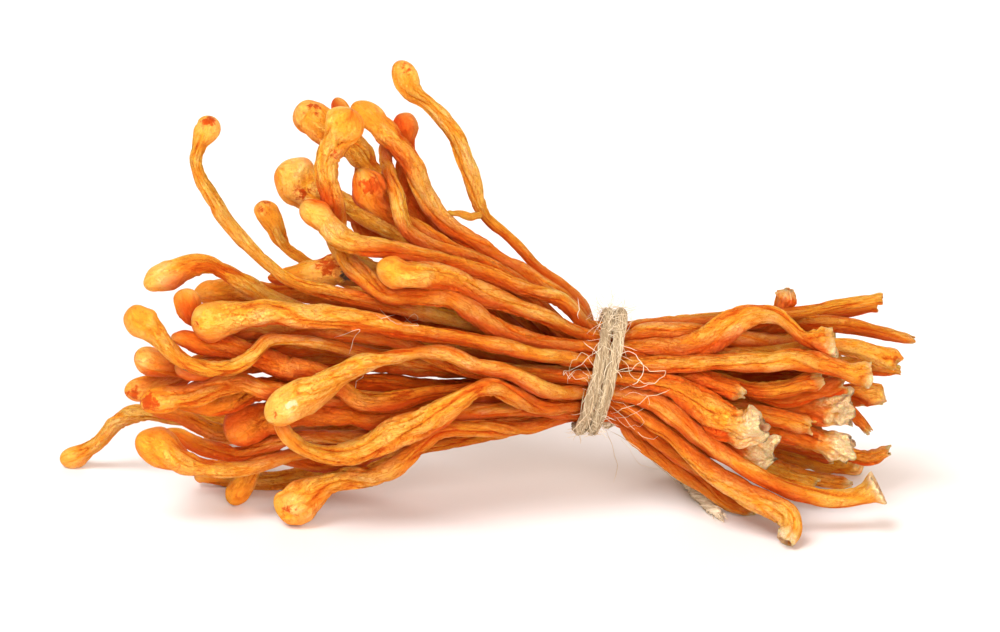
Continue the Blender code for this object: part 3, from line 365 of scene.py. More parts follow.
stemNotes = {
    "stem_tall_curled": {"butt": "cut", "tone": 0.08, "knobs": 0.12, "sway": 0.2, "headFold": 0.12,
                         "marks": [("red", -11.2, 29.6, 1.0, 0.5)]},
    "stem_thick_arch": {"fold": 0.16, "butt": "cut"},
    "stem_bent_back": {"butt": "cut", "tone": 0.1, "knobs": 0.10},
    "stem_pale_curl": {"fold": 0.18, "crease": 0.24, "tone": 0.0, "headFold": 0.14},
    "stem_question_mark": {"fold": 0.13, "butt": "trumpet", "tone": 0.1, "knobs": 0.12, "facing": True,
                           "headFold": 0.08, "marks": [("red", -19.9, 19.4, 1.1, 0.5)]},
    "stem_big_front_club": {"butt": "trumpet", "tone": 0.06, "crease": 0.24,
                            "marks": [("red", -36.4, -1.2, 0.8, 0.5)]},
    "stem_round_club": {"butt": "frill", "tone": 0.12, "fold": 0.2},
    "stem_spotted_club": {"crease": 0.12, "wrinkle": 0.05, "butt": "flared", "tone": 0.03,
                          "marks": [("pale", -25.1, -10.6, 0.6, 1.0), ("red", -27.0, -11.6, 1.0, 0.4)]},
    "stem_front_loop": {"fold": 0.18, "crease": 0.26, "butt": "trumpet", "tone": 0.08},
    "stem_hanging_head": {"tone": 0.18, "headFold": 0.10},
    "stem_lowest_front": {"tone": 0.08, "headFold": 0.16, "blunt": 4.5,
                          "marks": [("red", -25.3, -23.8, 1.2, 0.6)]},
    "stem_left_arch": {"butt": "knob", "tone": 0.05, "crease": 0.12},
    "stem_s_bend": {"butt": "knob", "tone": 0.05, "crease": 0.24,
                    "marks": [("grey", -38.0, -6.9, 0.7, 0.5)]},
    "stem_short_upper_left": {"fold": 0.18, "butt": "frill", "tone": 0.2,
                              "marks": [("red", -43.2, -4.8, 1.0, 0.4)]},
    "stem_rough_patch": {"fold": 0.22, "tone": 0.45},
    "stem_left_middle": {"tone": 0.25, "butt": "knob", "marks": [("red", -44.0, -9.4, 1.1, 0.7)]},
    "stem_brown_crumpled": {"fold": 0.24, "crease": 0.26, "tone": 0.55, "flat": 0.2, "butt": "knob"},
    "stem_red_tip": {"tone": 0.12, "marks": [("red", -42.0, -10.4, 1.3, 1.0)]},
    "stem_leftmost_foot": {"tone": 0.1, "butt": "trumpet", "knobs": 0.12},
    "stem_low_club": {"tone": 0.1, "crease": 0.24},
    "stem_behind_low_club": {"tone": 0.2, "butt": "frill", "fold": 0.22},
    "stem_dark_ball": {"fold": 0.2, "tone": 0.6, "butt": "frill", "pits": 14},
    "stem_dark_folded": {"fold": 0.2, "tone": 0.65},
    "stem_long_dark": {"tone": 0.55},
    "stem_back_foot": {"tone": 0.35},
    "stem_floor_left": {"tone": 0.35, "butt": "knob", "pits": 14},
    "stem_tall_thin": {"tone": 0.08, "knobs": 0.12, "sway": 0.18, "headFold": 0.12,
                       "marks": [("red", -35.0, 23.4, 1.0, 0.9)]},
    "stem_back_loner": {"tone": 0.1, "marks": [("red", -28.3, 13.2, 1.0, 0.5)]},
    "stem_bruised_fold": {"fold": 0.24, "flat": 0.2, "tone": 0.2, "headFold": 0.2,
                          "marks": [("grey", -18.3, 5.3, 0.9, 1.0), ("red", -20.5, 6.4, 1.8, 0.8)]},
    "stem_back_dimpled": {"pits": 16, "tone": 0.08, "headFold": 0.16,
                          "marks": [("red", -23.6, 14.6, 1.3, 0.6)]},
    "stem_back_leaning": {"pits": 12, "tone": 0.1, "headFold": 0.10,
                          "marks": [("red", -22.6, 24.8, 1.3, 0.6)]},
    "stem_back_small": {"tone": 0.2},
    "stem_back_middle": {"tone": 0.5, "fold": 0.2},
    "stem_folded_hollow": {"fold": 0.2, "tone": 0.2, "pits": 3, "headFold": 0.28,
                           "marks": [("red", -15.6, 15.6, 1.3, 1.0)]},
    "stem_front_drop": {"fold": 0.18, "tone": 0.2, "butt": "nub"},
    "stem_brown_head": {"tone": 0.75, "fold": 0.2, "headFold": 0.18},
    "stem_short_behind_arch": {"tone": 0.3, "butt": "nub"},
}


# How a head's outline is smoothed from the solid's rings.
headForm = {
    "step": 0.1,
    "window": 31,               # steps that are averaged
    "reach": 6.0,               # the head's widest place lies within this
    "ownFullness": (5.0, 9.0),  # where the smoothed head's fullness is no longer restored
    "smoothed": 14.0,           # how far the smoothing goes
    "lateRows": 30,             # past these rows, the first place that narrows counts as the widest
    "leastBroad": 0.7,
}


def withDome(places, radii, broad, wide, look):
    # the radii, with a smooth dome up to the head's widest place
    share = np.clip((broad - places) / (broad + look["beyond"]), 0.0, 1.0)
    return np.where(places < broad, wide * np.sqrt(np.maximum(1.0 - share ** look["blunt"], 0.0)), radii)


def roundedHead(line, reach, look, form):
    # the radius along the stem, where it is widest at the head, and how wide it is there
    evenly = np.arange(0.0, reach[-1], form["step"])
    radii = np.interp(evenly, reach, line[:, 3])
    window = np.hanning(form["window"])
    blurred = np.convolve(np.pad(radii, form["window"] // 2, "edge"), window / window.sum(), "valid")
    head = evenly < form["reach"]
    gain = math.sqrt(radii[head].max() / blurred[head].max())
    blurred = blurred * (1.0 + (gain - 1.0) * (1.0 - softStep(evenly, *form["ownFullness"])))
    profile = np.interp(reach, evenly, np.where(evenly < form["smoothed"], blurred, radii))
    widest = int(np.argmax(np.where(reach < form["reach"], profile, 0.0)))
    falls = np.nonzero(np.diff(profile[:widest + 1]) < 0)[0]
    if widest > form["lateRows"] and len(falls) > 0:
        widest = int(falls[0])
    broad = max(reach[widest], form["leastBroad"])
    wide = np.interp(broad, reach, profile)
    return withDome(reach, profile, broad, wide, look), broad, wide


def stemRows(length, broad, look, kind):
    # how far along each ring sits, and how far inside the broken end it is
    tip = np.linspace(0.0, math.pi / 2, look["tipRows"])[1:]
    dome = broad - (broad + look["beyond"]) * np.cos(tip)
    buttStart = length - look["buttReach"]
    middle = np.linspace(broad, buttStart, int((buttStart - broad) / look["rowGap"]))[1:]
    butt = np.linspace(buttStart, length, int(look["buttReach"] / look["endRowGap"]))[1:]
    into = np.linspace(0.0, 1.0, look["insideRows"])
    along = np.concatenate([[-look["beyond"]], dome, middle, butt, length - kind["deep"] * into ** 1.3,
                            [length - kind["deep"]]])
    inside = np.concatenate([np.zeros(len(along) - len(into) - 1), 0.15 + 0.85 * into, [1.0]])
    return along, inside


# Painted shade: where a stem lies in its neighbours' shade, or in its own, its colour is darkened.
shadeForm = {"smoothing": 5, "outBy": 0.7, "closeGap": (0.1, 3.6), "close": 0.9,
             "downward": (-0.3, 0.9), "under": 0.45}


def paintedShadeShare(node, surface, outward, lines, form):
    # painted shade: how closely other stems or the shade of its own underside cover each place on a stem,
    # from 0 to 1
    points = np.vstack([line for name, line in lines.items() if name != node])
    tree = KDTree(len(points))
    for i, point in enumerate(points):
        tree.insert(point[:3], i)
    tree.balance()
    gaps = np.zeros(len(surface))
    for i, place in enumerate(surface + form["outBy"] * outward):
        _, nearest, far = tree.find(place)
        gaps[i] = far - points[nearest][3]
    closed = 1.0 - softStep(gaps, *form["closeGap"])
    underside = softStep(-outward[:, 2], *form["downward"])
    return np.clip(form["close"] * closed + form["under"] * underside, 0.0, 1.0)


def pitField(look, dice, broad, along, turnGrid, radii):
    # small pits on the head, from 0 to 1
    pits = np.zeros_like(turnGrid)
    for _ in range(look["pits"]):
        spotAlong = dice.uniform(0.0, broad + look["pitReach"])
        spotTurn = dice.uniform(0.0, 1.0)
        spotSize = dice.uniform(*look["pitSize"])
        gap = (turnGrid - spotTurn + 0.5) % 1.0 - 0.5
        far = np.sqrt((along[:, None] - spotAlong) ** 2 + (gap * 2 * math.pi * radii[:, None]) ** 2)
        pits += np.exp(-(far / spotSize) ** 2)
    return np.clip(pits, 0.0, 1.0)


def markValues(look, places, outward):
    # how strongly each kind of mark shows at each place, on the side that the camera sees
    across, up = inView(places)
    front = softStep(-(outward @ sight), *look["markFacing"])
    values = {kind + "Mark": np.zeros(len(places)) for kind in ("pale", "red", "grey")}
    for kind, markAcross, markUp, size, strength in look["marks"]:
        far = np.hypot(across - markAcross, up - markUp)
        shown = strength * np.exp(-(far / size) ** 2) * front
        values[kind + "Mark"] = np.maximum(values[kind + "Mark"], shown)
    return values


def makeStem(number, node):
    look = {**stemLook, **stemNotes[node]}
    kind = buttKinds[look["butt"]]
    dice = np.random.default_rng(look["seed"] + number)
    line = smoothThrough(stemLines[node], look["smoothing"])
    reach = lengthsAlong(line)
    length = reach[-1]
    profile, broad, wide = roundedHead(line, reach, look, headForm)
    along, inside = stemRows(length, broad, look, kind)
    held = np.clip(along, 0.0, length)
    ahead, sides, ups = (pickAlong(held, reach, rows) for rows in turningFrames(line[:, :3]))
    places = pickAlong(held, reach, line[:, :3]) + ahead * (along - held)[:, None]
    radii = withDome(along, np.interp(held, reach, profile), broad, wide, look)

    around = look["around"]
    turn = np.arange(around) / around
    alongGrid, turnGrid = np.meshgrid(held, turn, indexing="ij")
    angle = 2 * math.pi * turnGrid
    lean = dice.uniform(-look["lean"], look["lean"])
    wander = wrappedField(dice, look["wanderField"], alongGrid, turnGrid) * look["wander"]
    twisted = turnGrid + lean * alongGrid + wander

    fadeFrom, fadeTo = look["headFade"]
    headShare = 1.0 - softStep(held, broad + fadeFrom, broad + fadeTo)
    headGrid = headShare[:, None]
    calm = 1.0 - look["headCalm"] * headGrid
    fromEnd = length - held
    buttShare = 1.0 - softStep(fromEnd, 0.0, kind["reach"])

    # folds, long creases and fine wrinkles, as shares of the radius
    fold = wrappedField(dice, look["foldField"], alongGrid, twisted)
    crease = wrappedField(dice, look["creaseField"], alongGrid, twisted)
    creaseLines = np.exp(-(crease / look["creaseWidth"]) ** 2)
    wrinkle = wrappedField(dice, look["wrinkleField"], alongGrid, twisted)
    wrinkleLines = np.exp(-(wrinkle / look["wrinkleWidth"]) ** 2)
    knobs = wrappedField(dice, look["knobField"], alongGrid, turnGrid)
    lumps = wrappedField(dice, look["lumpField"], alongGrid, turnGrid)
    smallLumps = look["smallLumps"] * wrappedField(dice, look["smallLumpField"], alongGrid, turnGrid)
    lumps = lumps + smallLumps - look["lumpSink"]
    crumple = wrappedField(dice, look["crumpleField"], alongGrid, turnGrid)
    depth = look["fold"] * fold * calm
    depth = depth - look["crease"] * (creaseLines - look["creaseLift"]) * calm
    depth = depth - look["wrinkle"] * (wrinkleLines - look["wrinkleLift"]) * calm
    depth = depth + look["knobs"] * knobs * calm
    depth = depth + look["headFold"] * lumps * headGrid
    depth = depth + look["crumple"] * crumple * buttShare[:, None]

    # dried flesh draws into small puckers across the inside of a bend
    bend = np.gradient(ahead, axis=0) / np.maximum(np.gradient(along), 0.05)[:, None]
    facingBend = (np.sum(bend * sides, axis=1)[:, None] * np.cos(angle)
                  + np.sum(bend * ups, axis=1)[:, None] * np.sin(angle))
    byFold, byWander = look["puckerBends"]
    pucker = np.sin(2 * math.pi * alongGrid / look["puckerGap"] + byFold * fold + byWander * wander)
    depth = depth + look["pucker"] * pucker * np.clip(facingBend * look["puckerKeen"], 0.0, 1.0) * calm

    # the cross-section is flattened, along a slow twist or towards the viewer
    if look["facing"]:
        form = ribbonForm
        acrossView = np.cross(ahead, sight)
        flatTurn = np.arctan2(np.sum(acrossView * ups, axis=1), np.sum(acrossView * sides, axis=1))
        ribbonHere = softStep(fromEnd, *form["starts"]) * (1.0 - softStep(fromEnd, *form["ends"]))
        widen = form["plain"] + form["widen"] * ribbonHere
        thin = form["plain"] + form["thin"] * ribbonHere
        turned = angle - flatTurn[:, None]
        depth = depth * (1.0 - form["smoother"] * ribbonHere)[:, None]
        depth = depth + np.cos(turned) ** 2 * widen[:, None] - np.sin(turned) ** 2 * thin[:, None]
    else:
        twist, swing, period = look["flatTwist"]
        phase = dice.uniform(0, 2 * math.pi) + twist * held
        phase = phase + swing * np.sin(held / period + dice.uniform(0, 6))
        depth = depth + look["flat"] * np.cos(2 * angle - phase[:, None]) * calm
    # painted shade and highlight: darker in creases and wrinkles, lighter where folds and knobs stand out
    shares = paintedReliefShares
    reliefShade = (shares["crease"] * creaseLines * calm + shares["wrinkle"] * wrinkleLines * calm
              - shares["fold"] * fold * calm - shares["knobs"] * knobs * calm)
    reliefShade = reliefShade - shares["lumps"] * lumps * headGrid - shares["crumple"] * crumple * buttShare[:, None]

    pits = pitField(look, dice, broad, held, turnGrid, radii)
    depth = depth - look["pitDepth"] * pits / np.maximum(radii[:, None], 0.6)

    # the broken end: folded in lobes, toothed and partly hollow
    lobes, smallLobes, teeth, smallTeeth = (
        wrappedField(dice, (1.0, cells), np.zeros(around), turn) for cells in look["rimCells"])
    lobes = lobes + 0.5 * smallLobes
    teeth = teeth * 0.7 + smallTeeth * 0.45
    flaring = buttShare ** look["flareCurve"]
    flare = 1.0 + (kind["flare"] - 1.0) * flaring
    closedReach = look["closedReach"]
    drawn = 1.0 - kind["closed"] * softStep(closedReach - fromEnd, 0.0, closedReach)
    depth = depth + np.outer(flaring, lobes) * kind["lobes"]
    lift = np.outer(buttShare ** look["toothCurve"], teeth) * kind["ragged"]
    innerWide = np.where(inside > 0, look["innerWide"] - look["innerTaper"] * inside, 1.0)
    innerWide[-1] = 0.0
    radius = (radii * flare * drawn * innerWide)[:, None] * np.maximum(1.0 + depth, look["leastRadius"])
    grid = tubeGrid(places[:, None, :] + ahead[:, None, :] * lift[:, :, None], sides, ups, radius, angle)

    # the line itself wanders a little, as dried flesh does
    drift = np.zeros((len(along), 2))
    for period, amount in look["swayPeriods"]:
        knotsAlong = np.arange(0.0, length + period, period)
        for i in range(2):
            steps = dice.normal(0.0, amount * look["sway"], len(knotsAlong))
            drift[:, i] += np.interp(held, knotsAlong, steps)
    grid = grid + (sides * drift[:, :1] + ups * drift[:, 1:])[:, None, :]

    piece, ring, column = sphereGrid(node + "_flesh", around, len(along) - 1)
    grid[0] = grid[0].mean(axis=0)
    grid[-1] = grid[-1].mean(axis=0)
    shaped = grid[ring, column]
    putPlaces(piece, shaped)
    cosine = np.cos(angle[ring, column])
    sine = np.sin(angle[ring, column])
    outward = sides[ring] * cosine[:, None] + ups[ring] * sine[:, None]
    values = {
        "paintedShade": paintedShadeShare(node, shaped, outward, nearLines, shadeForm),
        "reliefShade": reliefShade[ring, column],
        "pit": pits[ring, column],
        "headness": headShare[ring],
        "paleness": np.clip(1.0 - fromEnd[ring] / kind["pale"], 0.0, 1.0) * kind["creamy"],
        "rim": np.clip(1.0 - fromEnd[ring] / look["rimReach"], 0.0, 1.0) * kind["grey"],
        "hollow": inside[ring],
        "tone": np.full(len(ring), look["tone"]),
        "grain": np.column_stack([cosine, sine, held[ring] + look["grainGap"] * number]),
        **markValues(look, shaped, outward),
    }
    for name, value in values.items():
        keepValues(piece, name, value)
    return piece


# Materials.


def addNode(tree, kind, **settings):
    node = tree.nodes.new(kind)
    for name, value in settings.items():
        setattr(node, name, value)
    return node


def plug(tree, source, target):
    tree.links.new(source, target)


def setInputs(node, values):
    for name, value in values.items():
        node.inputs[name].default_value = value


def fillInputs(tree, sockets, values):
    # each value is another node's output, or a plain number or colour
    for socket, value in zip(sockets, values):
        if isinstance(value, (int, float, tuple)):
            socket.default_value = value
        elif value is not None:
            plug(tree, value, socket)


def attributeValue(tree, name, output="Fac"):
    return addNode(tree, "ShaderNodeAttribute", attribute_name=name).outputs[output]


def mathNode(tree, operation, first, second=None, third=None, clamp=False):
    node = addNode(tree, "ShaderNodeMath", operation=operation, use_clamp=clamp)
    fillInputs(tree, node.inputs, (first, second, third))
    return node.outputs[0]


def mixColour(tree, share, first, second):
    node = addNode(tree, "ShaderNodeMix", data_type="RGBA")
    fillInputs(tree, (node.inputs[0], node.inputs[6], node.inputs[7]), (share, first, second))
    return node.outputs[2]


def noise(tree, vector, scale, detail, roughness, distortion=0.0):
    node = addNode(tree, "ShaderNodeTexNoise")
    setInputs(node, {"Scale": scale, "Detail": detail, "Roughness": roughness, "Distortion": distortion})
    plug(tree, vector, node.inputs["Vector"])
    return node.outputs["Fac"]


def spread(tree, value, low, high):
    node = addNode(tree, "ShaderNodeMapRange", interpolation_type="SMOOTHSTEP")
    plug(tree, value, node.inputs["Value"])
    setInputs(node, {"From Min": low, "From Max": high})
    return node.outputs["Result"]


def stretch(tree, vector, scale):
    node = addNode(tree, "ShaderNodeMapping")
    plug(tree, vector, node.inputs["Vector"])
    setInputs(node, {"Scale": scale})
    return node.outputs[0]


def cracks(tree, value, width):
    # 1 along the thin lines where a noise passes its middle
    apart = mathNode(tree, "ABSOLUTE", mathNode(tree, "SUBTRACT", value, 0.5))
    return mathNode(tree, "SUBTRACT", 1.0, spread(tree, apart, 0.0, width))


def startMaterial(name):
    material = bpy.data.materials.new(name)
    material.use_nodes = True
    return material, material.node_tree, material.node_tree.nodes["Principled BSDF"]


def addBump(tree, shader, height, strength, distance):
    bump = addNode(tree, "ShaderNodeBump")
    setInputs(bump, {"Strength": strength, "Distance": distance})
    plug(tree, height, bump.inputs["Height"])
    plug(tree, bump.outputs["Normal"], shader.inputs["Normal"])


fleshLook = {
    # pale and ridge stand for the flesh's own paler grain and also for painted highlight on raised folds
    "pale": (1.0, 0.71, 0.26, 1.0),
    "ridge": (1.0, 0.555, 0.105, 1.0),
    "body": (1.0, 0.41, 0.036, 1.0),
    # painted shade: the dark red of creases and wrinkles
    "reliefShade": (0.76, 0.088, 0.001, 1.0),
    # brown stems: their ridges, and a dark brown of painted shade in their creases that also darkens a
    # butt's hollow
    "brownRidge": (0.88, 0.22, 0.012, 1.0),
    "brownGroove": (0.42, 0.034, 0.001, 1.0),
    "cream": (0.96, 0.72, 0.40, 1.0),
    "tan": (0.86, 0.43, 0.11, 1.0),
    # painted shade: the deep red put between stems and on undersides
    "deep": (0.68, 0.052, 0.0008, 1.0),
    "grey": (0.12, 0.085, 0.05, 1.0),
    "red": (0.62, 0.085, 0.006, 1.0),
}

# The patterns in the flesh. A noise has its scale, detail, roughness and distortion, an edge is where a
# change starts and ends, and a scaling is what a value is multiplied by and what is then added.
fleshPattern = {
    "longGrain": (3.4, 4.0, 0.6, 0.5),
    "longStretch": (1.0, 1.0, 0.24),
    "longCrack": 0.035,
    "fineGrain": (7.5, 4.0, 0.65, 0.4),
    "fineStretch": (1.0, 1.0, 0.36),
    "fineCrack": 0.045,
    "patches": (260.0, 3.0, 0.55, 0.4),
    "blotches": (640.0, 4.0, 0.62, 0.8),
    "specks": (2600.0, 2.0, 0.5),
    "mottling": (1100.0, 4.0, 0.65, 0.3),
    "stalkCracks": (-0.75, 1.0),            # scales how much a place is head
    "reliefShadeLift": 0.28,
    "depthOf": {"patches": 0.6, "longGrain": -0.8, "mottling": -0.45},
    "paleEdge": (-0.75, -0.15),
    "ridgeEdge": (-0.15, 0.35),
    "reliefShadeEdge": (0.42, 1.05),
    "darkOf": {"reliefShade": 0.7, "longCracks": 0.50, "fineCracks": 0.15},
    "brownPatches": 0.25,
    "paintedShade": 0.85,
    "freckleEdge": (0.58, 0.70),
    "freckles": 0.30,
    "headFreckles": (0.7, 0.3),
    "pits": 0.5,
    "marks": (("redMark", "red", 1.5), ("paleMark", "cream", 1.9), ("greyMark", "grey", 2.1)),
    "markBreakUp": (4.2, -2.5),
    "markEdge": (0.0, 0.75),
    "markReach": (0.05, 0.35),
    "buttBlotches": (1.5, -1.3),
    "buttPale": 1.7,
    "tanEdge": (0.0, 0.5),
    "tan": 0.85,
    "creamOf": {"longGrain": 0.7, "reliefShade": -0.35},
    "creamEdge": (0.55, 1.15),
    "creamCracks": (-0.6, 0.95),
    "rimBlotches": (2.4, -1.85),
    "rimGrey": 1.3,
    "rimEdge": (0.1, 0.8),
    "rim": 0.9,
    "hollow": 0.8,
    "roughness": (0.25, 0.46),
    "bump": (1.0, 0.00038),                 # strength, and distance in metres
    "height": {"longGrain": 1.5, "longCracks": -0.8, "fineCracks": -0.35, "fineGrain": 0.6, "mottling": 0.45,
               "specks": 0.3},
}


def fleshColourGroup(look, pattern):
    group = bpy.data.node_groups.new("driedFleshColour", "ShaderNodeTree")
    for name, side, kind in (("Brown", "INPUT", "Float"), ("Colour", "OUTPUT", "Color"),
                             ("Roughness", "OUTPUT", "Float"), ("Height", "OUTPUT", "Float")):
        group.interface.new_socket(name, in_out=side, socket_type="NodeSocket" + kind)
    entry = addNode(group, "NodeGroupInput")
    leave = addNode(group, "NodeGroupOutput")
    value = partial(attributeValue, group)
    mixed = partial(mixColour, group)
    between = partial(spread, group)
    times = partial(mathNode, group, "MULTIPLY")
    timesPlus = partial(mathNode, group, "MULTIPLY_ADD")

    objectPlace = addNode(group, "ShaderNodeTexCoord").outputs["Object"]
    grain = value("grain", "Vector")
    parts = {"longGrain": noise(group, stretch(group, grain, pattern["longStretch"]), *pattern["longGrain"]),
             "fineGrain": noise(group, stretch(group, grain, pattern["fineStretch"]), *pattern["fineGrain"])}
    for name in ("patches", "blotches", "specks", "mottling"):
        parts[name] = noise(group, objectPlace, *pattern[name])
    blotches = parts["blotches"]

    reliefShade = value("reliefShade")
    headness = value("headness")
    stalk = timesPlus(headness, *pattern["stalkCracks"])
    tone = mathNode(group, "ADD", value("tone"), entry.outputs["Brown"])
    parts["longCracks"] = times(cracks(group, parts["longGrain"], pattern["longCrack"]), stalk)
    parts["fineCracks"] = times(cracks(group, parts["fineGrain"], pattern["fineCrack"]), stalk)

    def addParts(total, shares):
        for name, share in shares.items():
            total = timesPlus(parts[name], share, total)
        return total

    # pale ridges and dark red grooves, which are painted highlight and painted shade mixed with the flesh's
    # own grain and mottling, over an orange body
    depth = addParts(mathNode(group, "ADD", reliefShade, pattern["reliefShadeLift"]), pattern["depthOf"])
    colour = mixed(between(depth, *pattern["paleEdge"]), look["pale"], look["ridge"])
    colour = mixed(between(depth, *pattern["ridgeEdge"]), colour, look["body"])
    dark = times(between(depth, *pattern["reliefShadeEdge"]), pattern["darkOf"]["reliefShade"])
    dark = timesPlus(parts["longCracks"], pattern["darkOf"]["longCracks"], dark)
    dark = timesPlus(parts["fineCracks"], pattern["darkOf"]["fineCracks"], dark, clamp=True)
    colour = mixed(dark, colour, look["reliefShade"])
    brown = mixed(dark, look["brownRidge"], look["brownGroove"])
    toned = timesPlus(mathNode(group, "SUBTRACT", blotches, 0.5), pattern["brownPatches"], tone, clamp=True)
    colour = mixed(toned, colour, brown)
    # painted shade: deep red where other stems lie close, and on undersides
    colour = mixed(times(value("paintedShade"), pattern["paintedShade"]), colour, look["deep"])

    # freckles and pits on the heads, and the red-brown, pale and grey marks
    freckles = times(between(parts["specks"], *pattern["freckleEdge"]), pattern["freckles"])
    freckles = times(freckles, timesPlus(headness, *pattern["headFreckles"]))
    colour = mixed(freckles, colour, look["red"])
    colour = mixed(times(value("pit"), pattern["pits"]), colour, look["red"])
    for name, shade, keen in pattern["marks"]:
        place = value(name)
        mark = timesPlus(place, keen, timesPlus(parts["mottling"], *pattern["markBreakUp"]))
        shown = times(between(mark, *pattern["markEdge"]), between(place, *pattern["markReach"]))
        colour = mixed(shown, colour, look[shade])

    # the butts turn tan and cream, with a grey torn rim and a dark hollow
    pale = timesPlus(value("paleness"), pattern["buttPale"], timesPlus(blotches, *pattern["buttBlotches"]))
    colour = mixed(times(between(pale, *pattern["tanEdge"]), pattern["tan"]), colour, look["tan"])
    cream = timesPlus(parts["longGrain"], pattern["creamOf"]["longGrain"], pale)
    cream = timesPlus(reliefShade, pattern["creamOf"]["reliefShade"], cream)
    crackled = timesPlus(parts["fineCracks"], *pattern["creamCracks"])
    colour = mixed(times(between(cream, *pattern["creamEdge"]), crackled), colour, look["cream"])
    rim = timesPlus(value("rim"), pattern["rimGrey"], timesPlus(blotches, *pattern["rimBlotches"]))
    colour = mixed(times(between(rim, *pattern["rimEdge"]), pattern["rim"]), colour, look["grey"])
    colour = mixed(times(value("hollow"), pattern["hollow"]), colour, look["brownGroove"])
    plug(group, colour, leave.inputs["Colour"])
    plug(group, timesPlus(parts["fineGrain"], *pattern["roughness"]), leave.inputs["Roughness"])
    plug(group, addParts(0.0, pattern["height"]), leave.inputs["Height"])
    return group


fleshFinish = {
    "Specular IOR Level": 0.1,
    "Subsurface Weight": 0.35,
    "Subsurface Radius": (1.0, 0.25, 0.05),
    "Subsurface Scale": 0.0011,
}


def fleshMaterial(name, brown, group):
    material, tree, shader = startMaterial(name)
    maker = addNode(tree, "ShaderNodeGroup", node_tree=group)
    setInputs(maker, {"Brown": brown})
    plug(tree, maker.outputs["Colour"], shader.inputs["Base Color"])
    plug(tree, maker.outputs["Roughness"], shader.inputs["Roughness"])
    addBump(tree, shader, maker.outputs["Height"], *fleshPattern["bump"])
    setInputs(shader, fleshFinish)
    return material


juteLook = {
    "Strand": {"light": (0.52, 0.40, 0.25, 1.0), "dark": (0.28, 0.19, 0.10, 1.0), "roughness": 0.85},
    "Fibre": {"light": (0.66, 0.55, 0.37, 1.0), "dark": (0.36, 0.26, 0.15, 1.0), "roughness": 0.75},
    "Hair": {"light": (0.88, 0.77, 0.60, 1.0), "dark": (0.72, 0.56, 0.36, 1.0), "roughness": 0.5},
    # painted light: a paler copy of the jute for the free end, which lies in the bundle's shadow
    "End": {"light": (0.98, 0.88, 0.68, 1.0), "dark": (0.62, 0.49, 0.32, 1.0), "roughness": 0.8},
}

jutePattern = {
    "streaks": (2600.0, 3.0, 0.6, 0.5),
    "patches": (700.0, 3.0, 0.6),
    "shadeOf": {"streaks": 0.5, "patches": 0.7, "fibre": 0.8},
    "lightEdge": (0.60, 1.45),
    "specular": 0.25,
    "bump": (0.4, 0.0001),
}


def juteMaterial(name, look, pattern):
    material, tree, shader = startMaterial(name)
    objectPlace = addNode(tree, "ShaderNodeTexCoord").outputs["Object"]
    streaks = noise(tree, objectPlace, *pattern["streaks"])
    patches = noise(tree, objectPlace, *pattern["patches"])
    shares = pattern["shadeOf"]
    shade = mathNode(tree, "MULTIPLY", streaks, shares["streaks"])
    shade = mathNode(tree, "MULTIPLY_ADD", patches, shares["patches"], shade)
    # the shade value holds each fibre's own tone, and on the strand cores painted shade in the valleys
    # between plies
    shade = mathNode(tree, "MULTIPLY_ADD", attributeValue(tree, "shade"), shares["fibre"], shade)
    lightness = spread(tree, shade, *pattern["lightEdge"])
    plug(tree, mixColour(tree, lightness, look["dark"], look["light"]), shader.inputs["Base Color"])
    setInputs(shader, {"Roughness": look["roughness"], "Specular IOR Level": pattern["specular"]})
    addBump(tree, shader, streaks, *pattern["bump"])
    return material


# The twine. The winding repeats the solid's: its middle, radius, lean and turns.
twineLook = {
    "middle": (12.3, 0.0, 17.4),
    "loopRadius": 6.98,
    "lean": 0.2,
    "turns": 2.06,
    "turnRows": 90,
    "pitch": 1.62,
    "startAngle": -118.0,
    "around": 24,
    "rowGap": 0.25,
    "coreRadius": 0.56,
    "bundleRadius": 0.70,
    "plies": 2,
    "plyDepth": 0.34,           # how far the valleys between plies go in, as a share of the radius
    "unevenField": (1.2, 6),
    "uneven": 0.08,
    "twistLength": 9.0,
    "strandFibres": 400,
    "strandFibreRadius": 0.046,
    "strandFibreSpans": (6.0, 18.0),
    "fibreTwists": (0.75, 1.1),                 # shares of the plies' twist
    "fibreSway": 0.35,
    "fibreOut": (0.76, 0.2, 0.11),              # shares of the radius: the core, the plies and slipping
    "fibreRows": 2.2,                           # for each millimetre
    "bandFibres": 130,
    "bandFibreSpans": (0.06, 0.30),             # in turns
    "bandSpread": 0.62,
    "bandMiddle": 0.53,
    "bandSwings": (0.1, 0.5),
    "bandWave": 0.07,
    "bandLifts": (-0.12, 0.10),
    "valley": 0.40,             # how far out fibres bridge the valley between two turns
    "fuzz": 300,
    "fuzzRadius": 0.024,
    "fuzzLengths": (1.0, 4.2),
    "fuzzBelow": 0.55,          # how long hairs below are, beside others
    "fuzzCurl": 0.5,
    "fuzzRows": 14,
    "fuzzRoot": 0.6,            # how far out from the winding's middle line hairs start
    "fuzzAlong": (0.5, 1.3),
    "fuzzOut": (0.0, 0.35),
    "fuzzAside": 0.8,
    "knotRadius": 0.52,
    "knotOut": 0.75,
    "knotSize": (0.42, 0.30, 0.42),             # across, along and out from the winding
    "knotEnds": 0.25,
    "knotRows": 110,
    "knotFibres": 60,
    "knotFibreSpans": (3.0, 8.0),
}

